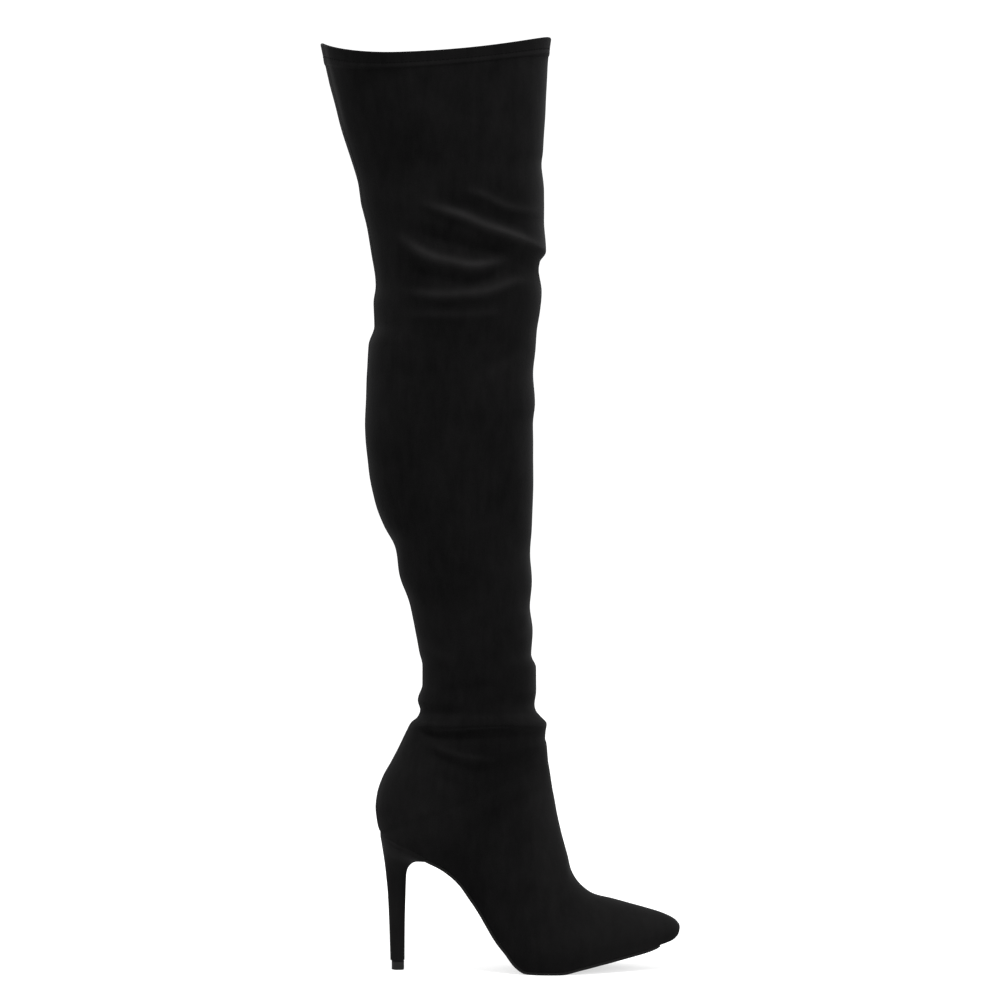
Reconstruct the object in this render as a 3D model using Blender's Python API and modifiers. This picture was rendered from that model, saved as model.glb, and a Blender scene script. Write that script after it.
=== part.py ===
"""Thigh high boot for the right foot, with a pointed toe and a covered stiletto heel.

Metres, +Z up, +X to the toe, +Y to the inner side of the leg. The origin is the middle of the
heel's floor face. The upper is a fan of slices: level round the leg, turning about the instep
down the back of the heel, and upright across the forefoot to the toe.
"""

from collections import namedtuple
from math import cos, hypot, pi, sin

import bmesh
import bpy
from mathutils import Vector

# Sizes of the last
FOOT_LENGTH = 0.240
HEEL_SET = 0.017
HEEL_HEIGHT = 0.110
ANKLE_RISE = 0.073
TOE_RISE = 0.0315
BALL_WIDTH = 0.078
SEAT_WIDTH = 0.052

# Sizes of the leg
SHAFT_HEIGHT = 0.6253
ANKLE_DEPTH = 0.091
ANKLE_WIDTH = 0.074
THIGH_DEPTH = 0.181
THIGH_WIDTH = 0.125
COLLAR_DIP = 0.0175
COLLAR_LEAN = 0.09

# Walls, bands and clearances
WALL = 0.0016
HEM_HEIGHT = 0.010
HEM_STEP = 0.0009
HEM_RAMP = 0.0008
LASTING_MARGIN = 0.009
CLEARANCE = 0.0003
OUTSOLE_WALL = 0.0025
OUTSOLE_INSET = 0.0012
OUTSOLE_TOE_GAP = 0.015
INSOLE_WALL = 0.002
INSOLE_INSET = 0.0008
INSOLE_TOE_GAP = 0.008
HEEL_INSET = 0.0004
LIFT_HEIGHT = 0.0067
LIFT_LENGTH = 0.0098
LIFT_WIDTH = 0.0096

# Fineness of the mesh
RING_STEP = 0.0135
LOW_STEPS = 5
HIGH_STEPS = 6
END_STEPS = 5
MIN_STEP = 0.0015
SHARP_ANGLE = 0.6

SOLE_STACK = OUTSOLE_WALL + CLEARANCE
ANKLE_TOP = HEEL_HEIGHT + ANKLE_RISE
MERGE = 1e-6

# Leg slices from the collar down to the roll over the ankle. Rises are shares of the shaft
# height over the seat, back and front are shares of the flare past the ankle's half depth,
# outer and inner are shares of the flare in width, and sag is a share of the collar's dip and
# of how far its widest place lies behind the middle.
Leg = namedtuple("Leg", "back back_rise front front_rise outer inner sag")
LEG = (
    Leg(0.86, 0.993, 0.14, 1.000, 1.00, 1.00, 1.0),
    Leg(0.80, 0.954, 0.11, 0.967, 0.98, 0.98, 0.7),
    Leg(0.70, 0.897, 0.09, 0.910, 0.95, 0.94, 0.3),
    Leg(0.59, 0.847, 0.07, 0.857, 0.91, 0.90, 0.0),
    Leg(0.53, 0.816, 0.06, 0.839, 0.88, 0.87, 0.0),
    Leg(0.51, 0.792, 0.09, 0.770, 0.86, 0.85, 0.0),
    Leg(0.48, 0.778, 0.10, 0.735, 0.84, 0.83, 0.0),
    Leg(0.46, 0.762, 0.05, 0.721, 0.80, 0.79, 0.0),
    Leg(0.42, 0.732, 0.04, 0.707, 0.76, 0.76, 0.0),
    Leg(0.38, 0.697, 0.06, 0.680, 0.73, 0.74, 0.0),
    Leg(0.39, 0.665, 0.05, 0.654, 0.68, 0.70, 0.0),
    Leg(0.39, 0.637, 0.02, 0.632, 0.64, 0.67, 0.0),
    Leg(0.44, 0.613, 0.01, 0.606, 0.61, 0.66, 0.0),
    Leg(0.465, 0.562, 0.00, 0.556, 0.57, 0.65, 0.0),
    Leg(0.47, 0.512, -0.015, 0.512, 0.55, 0.63, 0.0),
    Leg(0.44, 0.461, -0.01, 0.461, 0.50, 0.58, 0.0),
    Leg(0.38, 0.417, -0.02, 0.417, 0.44, 0.51, 0.0),
    Leg(0.30, 0.385, -0.03, 0.381, 0.37, 0.43, 0.0),
    Leg(0.20, 0.356, -0.04, 0.346, 0.30, 0.34, 0.0),
    Leg(0.16, 0.322, -0.03, 0.316, 0.25, 0.27, 0.0),
    Leg(0.075, 0.284, -0.035, 0.284, 0.19, 0.20, 0.0),
    Leg(0.02, 0.240, -0.02, 0.240, 0.12, 0.12, 0.0),
    Leg(-0.03, 0.208, 0.015, 0.205, 0.07, 0.06, 0.0),
    Leg(-0.03, 0.184, 0.015, 0.177, 0.03, 0.02, 0.0),
    Leg(0.01, 0.164, 0.00, 0.159, 0.00, -0.01, 0.0),
    Leg(-0.005, 0.152, 0.01, 0.1515, 0.00, 0.00, 0.0),
    Leg(0.025, 0.143, 0.05, 0.144, 0.08, 0.06, 0.0),
    Leg(0.07, 0.136, 0.105, 0.134, 0.12, 0.10, 0.0),
    Leg(0.105, 0.126, 0.09, 0.124, 0.00, 0.00, 0.0),
)
LEG_AT = 0.332

# Slices that turn down the back of the heel. Places are shares of the foot length from the
# back of the counter, rises are shares of the ankle's rise over the seat, widths are shares
# of the ankle's width, and low is where along the slice it is widest.
Heel = namedtuple("Heel", "back back_rise front front_rise outer inner low")
COUNTER = (
    Heel(0.081, 0.932, 0.558, 0.995, 0.50, 0.49, 0.50),
    Heel(0.052, 0.753, 0.562, 0.945, 0.495, 0.48, 0.49),
    Heel(0.022, 0.575, 0.565, 0.905, 0.485, 0.47, 0.47),
    Heel(0.005, 0.397, 0.567, 0.865, 0.475, 0.46, 0.45),
    Heel(0.000, 0.250, 0.568, 0.825, 0.470, 0.455, 0.43),
    Heel(0.003, 0.120, 0.570, 0.785, 0.465, 0.45, 0.42),
    Heel(0.012, 0.000, 0.572, 0.745, 0.46, 0.445, 0.40),
)

# Slices that stand on the sole, from the seat to the toe. Places are shares of the foot
# length, rise is a share of the heel height, spring of the toe's rise, top runs from 0 at
# the toe's tip to 1 at the ankle, and bulges are shares of the ball width past the feather
# line. Low is where up the slice it is widest, crown how round its top is.
Sole = namedtuple("Sole", "at rise spring top_at top outer inner low crown")
FOOT = (
    Sole(0.026, 0.970, 0.0, 0.574, 0.868, 0.255, 0.245, 0.40, 2.0),
    Sole(0.050, 0.949, 0.0, 0.575, 0.850, 0.165, 0.155, 0.39, 2.0),
    Sole(0.084, 0.912, 0.0, 0.576, 0.832, 0.108, 0.105, 0.38, 2.0),
    Sole(0.125, 0.868, 0.0, 0.577, 0.812, 0.096, 0.098, 0.37, 2.0),
    Sole(0.165, 0.812, 0.0, 0.578, 0.788, 0.108, 0.110, 0.36, 1.95),
    Sole(0.215, 0.756, 0.0, 0.579, 0.758, 0.112, 0.118, 0.36, 1.9),
    Sole(0.253, 0.697, 0.0, 0.579, 0.728, 0.112, 0.122, 0.36, 1.9),
    Sole(0.283, 0.632, 0.0, 0.582, 0.697, 0.110, 0.115, 0.36, 1.85),
    Sole(0.312, 0.540, 0.0, 0.584, 0.662, 0.105, 0.115, 0.36, 1.85),
    Sole(0.344, 0.435, 0.0, 0.589, 0.624, 0.100, 0.110, 0.35, 1.85),
    Sole(0.373, 0.322, 0.0, 0.595, 0.585, 0.095, 0.100, 0.34, 1.85),
    Sole(0.402, 0.215, 0.0, 0.602, 0.543, 0.090, 0.090, 0.33, 1.85),
    Sole(0.433, 0.130, 0.0, 0.611, 0.497, 0.085, 0.080, 0.32, 1.85),
    Sole(0.462, 0.046, 0.0, 0.620, 0.444, 0.080, 0.070, 0.31, 1.85),
    Sole(0.493, 0.004, 0.0, 0.630, 0.387, 0.070, 0.065, 0.30, 1.85),
    Sole(0.548, 0.000, 0.0, 0.641, 0.315, 0.060, 0.060, 0.29, 1.9),
    Sole(0.603, 0.000, 0.0, 0.667, 0.246, 0.058, 0.058, 0.29, 1.9),
    Sole(0.670, 0.000, 0.100, 0.718, 0.185, 0.055, 0.055, 0.30, 1.95),
    Sole(0.742, 0.000, 0.215, 0.777, 0.161, 0.050, 0.050, 0.31, 2.0),
    Sole(0.812, 0.000, 0.325, 0.837, 0.134, 0.044, 0.044, 0.32, 2.0),
    Sole(0.874, 0.000, 0.430, 0.891, 0.110, 0.038, 0.038, 0.34, 2.0),
    Sole(0.920, 0.000, 0.525, 0.933, 0.090, 0.032, 0.032, 0.36, 2.0),
    Sole(0.955, 0.000, 0.610, 0.965, 0.069, 0.026, 0.026, 0.38, 2.0),
    Sole(0.978, 0.000, 0.680, 0.985, 0.050, 0.020, 0.020, 0.42, 2.0),
    Sole(0.990, 0.000, 0.750, 0.996, 0.031, 0.014, 0.014, 0.46, 2.0),
)

# Feather line seen from below: half widths are a share of the seat's width plus a share of
# the ball's, and swing carries the middle of the sole inwards, in shares of the ball width.
Edge = namedtuple("Edge", "at outer_seat outer_ball inner_seat inner_ball swing")
OUTLINE = (
    Edge(0.000, 0.50, 0.00, 0.50, 0.00, 0.00),
    Edge(0.110, 0.50, 0.00, 0.49, 0.00, 0.00),
    Edge(0.165, 0.46, 0.00, 0.43, 0.00, 0.00),
    Edge(0.280, 0.30, 0.10, 0.20, 0.11, -0.01),
    Edge(0.400, 0.10, 0.25, 0.05, 0.24, -0.02),
    Edge(0.500, 0.00, 0.40, 0.00, 0.37, -0.02),
    Edge(0.580, 0.00, 0.435, 0.00, 0.43, -0.01),
    Edge(0.650, 0.00, 0.42, 0.00, 0.425, 0.005),
    Edge(0.740, 0.00, 0.355, 0.00, 0.36, 0.025),
    Edge(0.830, 0.00, 0.265, 0.00, 0.265, 0.045),
    Edge(0.910, 0.00, 0.185, 0.00, 0.180, 0.055),
    Edge(1.000, 0.00, 0.115, 0.00, 0.110, 0.060),
)
SEAT_AT = 0.012
BREAST_AT = 0.165
HEEL_ROUND = 0.095
TOE_ROUND = 0.045

# Covered heel from its floor end to the seat. Rises run from the top lift to the seat, back
# and front from the lift's ends to the seat's back and its breast, and half from the lift's
# width to the seat's. Flat is the share of the front that is flat.
Stem = namedtuple("Stem", "back back_rise front front_rise half flat")
STEM = (
    Stem(0.04, 0.000, -0.03, 0.000, 0.00, 0.45),
    Stem(0.14, 0.231, -0.01, 0.231, 0.015, 0.45),
    Stem(0.29, 0.515, 0.02, 0.515, 0.055, 0.45),
    Stem(0.41, 0.658, 0.065, 0.653, 0.125, 0.45),
    Stem(0.51, 0.738, 0.15, 0.712, 0.25, 0.50),
    Stem(0.62, 0.806, 0.30, 0.748, 0.41, 0.60),
    Stem(0.74, 0.869, 0.52, 0.771, 0.62, 0.75),
    Stem(0.85, 0.925, 0.76, 0.780, 0.81, 0.88),
)

Slice = namedtuple("Slice", "back_x back_z front_x front_z outer inner low crown sag")


def foot_x(share):
    return share * FOOT_LENGTH - HEEL_SET


def smooth_table(places, columns):
    """Return a function that runs a smooth line without overshoot through every column."""
    gaps = [b - a for a, b in zip(places, places[1:])]
    runs = []
    for values in columns:
        slopes = [(b - a) / gap for a, b, gap in zip(values, values[1:], gaps)]
        tangents = [slopes[0]]
        for left, right in zip(slopes, slopes[1:]):
            tangents.append(2 * left * right / (left + right) if left * right > 0 else 0.0)
        tangents.append(slopes[-1])
        runs.append((values, tangents))

    def at(place):
        last = len(gaps) - 1
        i = next((k for k in range(last) if place < places[k + 1]), last)
        u = min(max((place - places[i]) / gaps[i], 0.0), 1.0)
        ease = u * u * (3 - 2 * u)
        lead = u * (1 - u) ** 2 * gaps[i]
        trail = u * u * (u - 1) * gaps[i]
        return [
            v[i] + (v[i + 1] - v[i]) * ease + m[i] * lead + m[i + 1] * trail for v, m in runs
        ]

    return at


OUTLINE_AT = smooth_table([row.at for row in OUTLINE], list(zip(*OUTLINE))[1:])


def sole_middle(x):
    """Sideways place of the middle of the sole."""
    return OUTLINE_AT((x + HEEL_SET) / FOOT_LENGTH)[4] * BALL_WIDTH


def sole_half(x, outer, inset=0.0, toe_gap=0.0):
    """Half width of the feather line at x on one side, drawn in by an inset."""
    row = OUTLINE_AT((x + HEEL_SET) / FOOT_LENGTH)
    seat, ball = row[:2] if outer else row[2:4]
    half = max(seat * SEAT_WIDTH + ball * BALL_WIDTH - inset, 0.0)
    from_heel = (x - foot_x(SEAT_AT) - inset) / (HEEL_ROUND * FOOT_LENGTH)
    from_toe = (foot_x(1.0) - toe_gap - inset - x) / (TOE_ROUND * FOOT_LENGTH)
    for reach in (from_heel, from_toe):
        reach = min(max(reach, 0.0), 1.0)
        half *= (1 - (1 - reach) ** 2) ** 0.5
    return half


def sole_height(rise, spring):
    return SOLE_STACK + rise * (HEEL_HEIGHT - SOLE_STACK) + spring * TOE_RISE


def leg_slices():
    leg_x = foot_x(LEG_AT)
    flare = THIGH_DEPTH - ANKLE_DEPTH
    spread = THIGH_WIDTH - ANKLE_WIDTH
    for row in LEG:
        yield Slice(
            leg_x - ANKLE_DEPTH / 2 - row.back * flare,
            HEEL_HEIGHT + row.back_rise * SHAFT_HEIGHT,
            leg_x + ANKLE_DEPTH / 2 + row.front * flare,
            HEEL_HEIGHT + row.front_rise * SHAFT_HEIGHT,
            (ANKLE_WIDTH + row.outer * spread) / 2,
            (ANKLE_WIDTH + row.inner * spread) / 2,
            0.5 - row.sag * COLLAR_LEAN,
            2.0,
            row.sag * COLLAR_DIP,
        )


def counter_slices():
    for row in COUNTER:
        yield Slice(
            foot_x(row.back),
            HEEL_HEIGHT + row.back_rise * ANKLE_RISE,
            foot_x(row.front),
            HEEL_HEIGHT + row.front_rise * ANKLE_RISE,
            row.outer * ANKLE_WIDTH,
            row.inner * ANKLE_WIDTH,
            row.low,
            2.0,
            0.0,
        )


def foot_slices():
    for row in FOOT:
        x = foot_x(row.at)
        yield Slice(
            x,
            sole_height(row.rise, row.spring),
            foot_x(row.top_at),
            TOE_RISE + row.top * (ANKLE_TOP - TOE_RISE),
            sole_half(x, True) + row.outer * BALL_WIDTH,
            sole_half(x, False) + row.inner * BALL_WIDTH,
            row.low,
            row.crown,
            0.0,
        )


SLICES = [*leg_slices(), *counter_slices(), *foot_slices()]
CORNER = len(LEG) + len(COUNTER) - 1


def slice_places():
    """Distance down the boot to each slice, between its back and its front."""
    places = [0.0]
    for a, b in zip(SLICES, SLICES[1:]):
        back = hypot(b.back_x - a.back_x, b.back_z - a.back_z)
        front = hypot(b.front_x - a.front_x, b.front_z - a.front_z)
        places.append(places[-1] + (back + front) / 2)
    return places


PLACES = slice_places()
SLICE_AT = smooth_table(PLACES, list(zip(*SLICES)))


def slice_ring(cut, on_sole, proud=0.0):
    """Points round one slice, from the lasting margin up the outer side and down the inner."""
    edges = [sole_half(cut.back_x, outer) if on_sole else 0.0 for outer in (True, False)]
    margins = [
        sole_half(cut.back_x, outer, LASTING_MARGIN) if on_sole else 0.0 for outer in (True, False)
    ]
    back = Vector((cut.back_x - proud, 0, cut.back_z))
    run = Vector((cut.front_x + proud, 0, cut.front_z)) - back
    middle = sole_middle(cut.back_x) if on_sole else 0.0
    sides = []
    for edge, margin, wide in zip(edges, margins, (cut.outer + proud, cut.inner + proud)):
        side = [(0.0, margin), (0.0, edge)]
        steep = edge / wide
        for k in range(1, LOW_STEPS + 1):
            turn = k / LOW_STEPS * pi / 2
            along = (1 - steep) * (1 - cos(turn)) + steep * k / LOW_STEPS
            side.append((cut.low * along, edge + (wide - edge) * sin(turn)))
        for k in range(1, HIGH_STEPS + 1):
            turn = k / HIGH_STEPS * pi / 2
            along = sin(turn) ** (2 / cut.crown)
            across = max(cos(turn), 0.0) ** (2 / cut.crown)
            side.append((cut.low + (1 - cut.low) * along, wide * across))
        sides.append(side)
    outer = [(share, -across) for share, across in sides[0]]
    inner = [(share, across) for share, across in reversed(sides[1][:-1])]
    ring = []
    for share, across in outer + inner:
        wide = (cut.outer if across < 0 else cut.inner) + proud
        drop = cut.sag * (across / wide) ** 2
        ring.append(back + run * share + Vector((0, middle + across, -drop)))
    return ring


def upper_places():
    """Where the upper's rings lie: the hem's step, each slice, and even steps between."""
    places = [0.0, HEM_HEIGHT, HEM_HEIGHT + HEM_RAMP]
    for start, end in zip(PLACES, PLACES[1:]):
        steps = max(1, round((end - start) / RING_STEP))
        places += [start + (end - start) * k / steps for k in range(1, steps + 1)]
    return places


def loft(name, rings, closed=True):
    """Skin a row of rings, with strips across both ends where it is to be closed."""
    mesh = bmesh.new()
    rows = [[mesh.verts.new(point) for point in ring] for ring in rings]
    for above, below in zip(rows, rows[1:]):
        for j in range(len(above) - 1):
            mesh.faces.new((above[j], below[j], below[j + 1], above[j + 1]))
        if closed:
            mesh.faces.new((above[-1], below[-1], below[0], above[0]))
    if closed:
        for row in (rows[0], rows[-1]):
            for j in range(len(row) // 2):
                strip = [row[j], row[j + 1], row[-j - 1], row[-j]]
                mesh.faces.new(dict.fromkeys(strip))
    bmesh.ops.remove_doubles(mesh, verts=mesh.verts, dist=MERGE)
    if closed:
        bmesh.ops.recalc_face_normals(mesh, faces=mesh.faces)
    data = bpy.data.meshes.new(name)
    mesh.to_mesh(data)
    mesh.free()
    return bpy.data.objects.new(name, data)


def finish(piece, colour, roughness):
    """Give a piece its material and smooth shading, and put it in the boot's collection."""
    material = bpy.data.materials.new(piece.name)
    material.use_nodes = True
    shader = material.node_tree.nodes["Principled BSDF"]
    shader.inputs["Base Color"].default_value = (*colour, 1.0)
    shader.inputs["Roughness"].default_value = roughness
    piece.data.materials.append(material)
    piece.data.shade_smooth()
    piece.data.set_sharp_from_angle(angle=SHARP_ANGLE)
    bpy.data.collections["thigh_high_boot"].objects.link(piece)
    return piece


def make_upper():
    places = upper_places()
    rings = []
    for place in places:
        proud = HEM_STEP if place <= HEM_HEIGHT else 0.0
        rings.append(slice_ring(Slice(*SLICE_AT(place)), place > PLACES[CORNER], proud))
    tip = Vector((foot_x(1.0), sole_middle(foot_x(1.0)), TOE_RISE))
    rings.append([tip] * len(rings[0]))
    upper = loft("upper", rings, closed=False)
    group = upper.vertex_groups.new(name="wall")
    hem = [v.index for v in upper.data.vertices if v.index < 2 * len(rings[0])]
    group.add([v.index for v in upper.data.vertices], WALL / (WALL + HEM_STEP), "REPLACE")
    group.add(hem, 1.0, "REPLACE")
    wall = upper.modifiers.new("wall", "SOLIDIFY")
    wall.thickness = WALL + HEM_STEP
    wall.offset = -1
    wall.use_even_offset = True
    wall.vertex_group = "wall"
    return finish(upper, (0.012, 0.011, 0.011), 0.9)


def feather_path(lift):
    """The feather line from the side as the upper's rings have it, moved up by a lift."""
    points = [Vector(SLICE_AT(place)[:2]) for place in upper_places() if place >= PLACES[CORNER]]
    lifted = []
    for k, point in enumerate(points):
        behind = (point - points[k - 1]).normalized() if k else None
        ahead = (points[k + 1] - point).normalized() if k + 1 < len(points) else behind
        behind = behind or ahead
        up = Vector((-behind.y - ahead.y, behind.x + ahead.x)).normalized()
        lifted.append(point + up * lift / up.dot(Vector((-ahead.y, ahead.x))))
    return points, lifted


def on_path(x, path):
    """The lifted point over the feather line's own point at x."""
    points, lifted = path
    k = next((k for k in range(len(points) - 2) if x < points[k + 1].x), len(points) - 2)
    return lifted[k].lerp(lifted[k + 1], (x - points[k].x) / (points[k + 1].x - points[k].x))


def sole_stations(start, end, round_heel):
    """Places along the sole: those of the upper's rings, and more where an end is round."""
    toe = TOE_ROUND * FOOT_LENGTH
    stations = [end - toe * (1 - sin(k / END_STEPS * pi / 2)) for k in range(END_STEPS + 1)]
    if round_heel:
        heel = HEEL_ROUND * FOOT_LENGTH
        stations += [start + heel * (1 - cos(k / END_STEPS * pi / 2)) for k in range(END_STEPS)]
    else:
        stations.append(start)
    stations += [p.x for p in feather_path(0.0)[0] if min(stations) < p.x < end - toe]
    kept = []
    for x in sorted(stations):
        if not kept or x - kept[-1] > MIN_STEP or x == end:
            kept.append(x)
    return kept


def sole_sheet(name, stations, lift, inset, toe_gap, thickness):
    """A sheet that follows the feather line, given its thickness upwards from its underside."""
    path = feather_path(lift)
    rings = []
    for x in stations:
        point = on_path(x, path)
        outer = sole_middle(x) - sole_half(x, True, inset, toe_gap)
        inner = sole_middle(x) + sole_half(x, False, inset, toe_gap)
        rings.append([Vector((point.x, y, point.y)) for y in (inner, outer)])
    sheet = loft(name, rings, closed=False)
    wall = sheet.modifiers.new("thickness", "SOLIDIFY")
    wall.thickness = thickness
    wall.offset = -1
    wall.use_even_offset = True
    return sheet


def make_outsole():
    stations = sole_stations(
        foot_x(BREAST_AT) + CLEARANCE, foot_x(1.0) - OUTSOLE_TOE_GAP - OUTSOLE_INSET, False
    )
    sole = sole_sheet(
        "outsole", stations, -SOLE_STACK, OUTSOLE_INSET, OUTSOLE_TOE_GAP, OUTSOLE_WALL
    )
    return finish(sole, (0.02, 0.019, 0.018), 0.5)


def make_insole():
    inset = WALL + INSOLE_INSET
    start = foot_x(SEAT_AT) + inset
    end = foot_x(1.0) - INSOLE_TOE_GAP - inset
    stations = sole_stations(start, end, True)
    sole = sole_sheet(
        "insole", stations, WALL + CLEARANCE, inset, INSOLE_TOE_GAP, INSOLE_WALL
    )
    return finish(sole, (0.025, 0.023, 0.022), 0.75)


def heel_ring(back, front, half, flat):
    """A ring with a round back and a flat front, as the heel has at every height."""
    sides = []
    for way in (-1, 1):
        side = []
        for k in range(LOW_STEPS + 1):
            turn = k / LOW_STEPS * pi / 2
            side.append(((1 - cos(turn)) / 2, way * half * sin(turn)))
        for k in range(1, LOW_STEPS + 1):
            turn = k / LOW_STEPS * pi / 2
            across = half * (flat + (1 - flat) * cos(turn))
            side.append(((1 + sin(turn)) / 2, way * across))
        sides.append(side)
    around = sides[0] + sides[1][:0:-1]
    return [back.lerp(front, share) + Vector((0, y, 0)) for share, y in around]


def make_heel():
    foot = LIFT_HEIGHT + CLEARANCE
    height = HEEL_HEIGHT - foot
    back_reach = -foot_x(SEAT_AT) - LIFT_LENGTH / 2
    front_reach = foot_x(BREAST_AT) - LIFT_LENGTH / 2
    rings = []
    for row in STEM:
        back = Vector((-LIFT_LENGTH / 2 - row.back * back_reach, 0, foot + row.back_rise * height))
        front = Vector(
            (LIFT_LENGTH / 2 + row.front * front_reach, 0, foot + row.front_rise * height)
        )
        half = (LIFT_WIDTH + row.half * (SEAT_WIDTH - LIFT_WIDTH)) / 2
        rings.append(heel_ring(back, front, half, row.flat))
    path = feather_path(-CLEARANCE)
    start = foot_x(SEAT_AT) + HEEL_INSET
    seat = []
    unit = heel_ring(Vector((start, 0, 0)), Vector((foot_x(BREAST_AT), 0, 0)), 1.0, 1.0)
    for point in unit:
        side = sole_half(point.x, point.y < 0, HEEL_INSET)
        level = on_path(point.x, path)
        seat.append(Vector((level.x, side if point.y > 0 else -side, level.y)))
    rings.append(seat)
    return finish(loft("heel", rings), (0.012, 0.011, 0.011), 0.9)


def make_top_lift():
    rings = []
    for height in (0.0, LIFT_HEIGHT):
        back = Vector((-LIFT_LENGTH / 2, 0, height))
        front = Vector((LIFT_LENGTH / 2, 0, height))
        rings.append(heel_ring(back, front, LIFT_WIDTH / 2, STEM[0].flat))
    return finish(loft("top_lift", rings), (0.06, 0.058, 0.056), 0.45)


for thing in list(bpy.data.objects):
    bpy.data.objects.remove(thing, do_unlink=True)
boot = bpy.data.collections.new("thigh_high_boot")
bpy.context.scene.collection.children.link(boot)
make_upper()
make_insole()
make_outsole()
make_heel()
make_top_lift()
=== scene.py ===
"""Looks of the thigh high boot: black stretch microsuede, a pointed toe and a covered stiletto.

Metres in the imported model's frame: +X to the toe, +Y to the inner side of the leg. The origin
is the middle of the heel's floor face.
"""

from collections import namedtuple
from math import cos, hypot, pi, sin

import bmesh
import bpy
import numpy as np
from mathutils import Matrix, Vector, noise


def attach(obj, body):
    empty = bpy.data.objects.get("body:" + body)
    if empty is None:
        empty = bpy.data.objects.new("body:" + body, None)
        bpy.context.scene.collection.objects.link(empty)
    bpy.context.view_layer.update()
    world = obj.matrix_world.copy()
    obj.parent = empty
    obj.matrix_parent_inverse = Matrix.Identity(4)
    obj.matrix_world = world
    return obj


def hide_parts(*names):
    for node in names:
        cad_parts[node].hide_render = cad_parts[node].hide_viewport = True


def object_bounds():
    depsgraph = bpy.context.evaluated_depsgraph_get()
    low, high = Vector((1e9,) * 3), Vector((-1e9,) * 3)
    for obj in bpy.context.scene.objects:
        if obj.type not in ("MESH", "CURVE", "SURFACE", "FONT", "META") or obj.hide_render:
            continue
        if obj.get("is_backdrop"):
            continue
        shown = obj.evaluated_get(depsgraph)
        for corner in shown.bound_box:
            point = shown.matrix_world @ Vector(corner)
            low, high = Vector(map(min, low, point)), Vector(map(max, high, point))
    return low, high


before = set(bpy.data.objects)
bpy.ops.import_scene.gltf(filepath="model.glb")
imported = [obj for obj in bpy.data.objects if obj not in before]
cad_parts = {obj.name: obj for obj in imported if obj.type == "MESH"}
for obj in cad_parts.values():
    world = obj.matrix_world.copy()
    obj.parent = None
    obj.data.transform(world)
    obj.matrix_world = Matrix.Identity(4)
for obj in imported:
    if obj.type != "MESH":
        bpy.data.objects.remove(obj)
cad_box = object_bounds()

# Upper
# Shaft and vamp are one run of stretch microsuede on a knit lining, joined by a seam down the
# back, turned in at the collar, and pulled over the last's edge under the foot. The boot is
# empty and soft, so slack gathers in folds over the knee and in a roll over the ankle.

# Sizes of the foot, the leg and the cloth. The heel set is how far the seat's back lies behind
# the middle of the heel's floor face.
FOOT_LENGTH = 0.240
HEEL_SET = 0.017
HEEL_HEIGHT = 0.110
ANKLE_RISE = 0.073
TOE_RISE = 0.0315
BALL_WIDTH = 0.078
SEAT_WIDTH = 0.052
SHAFT_HEIGHT = 0.6253
ANKLE_DEPTH = 0.091
ANKLE_WIDTH = 0.074
THIGH_DEPTH = 0.181
THIGH_WIDTH = 0.125
COLLAR_DIP = 0.0170
COLLAR_LEAN = 0.09
WALL = 0.0016
HEM_HEIGHT = 0.0158
HEM_STEP = 0.0006
WELT = 0.0056
LASTING_MARGIN = 0.009
TOE_LASTING = 0.010
TOE_LASTED = (0.184, 0.203)
CLEARANCE = 0.0003
OUTSOLE_WALL = 0.0025
SOLE_STACK = OUTSOLE_WALL + CLEARANCE
ANKLE_TOP = HEEL_HEIGHT + ANKLE_RISE

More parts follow.
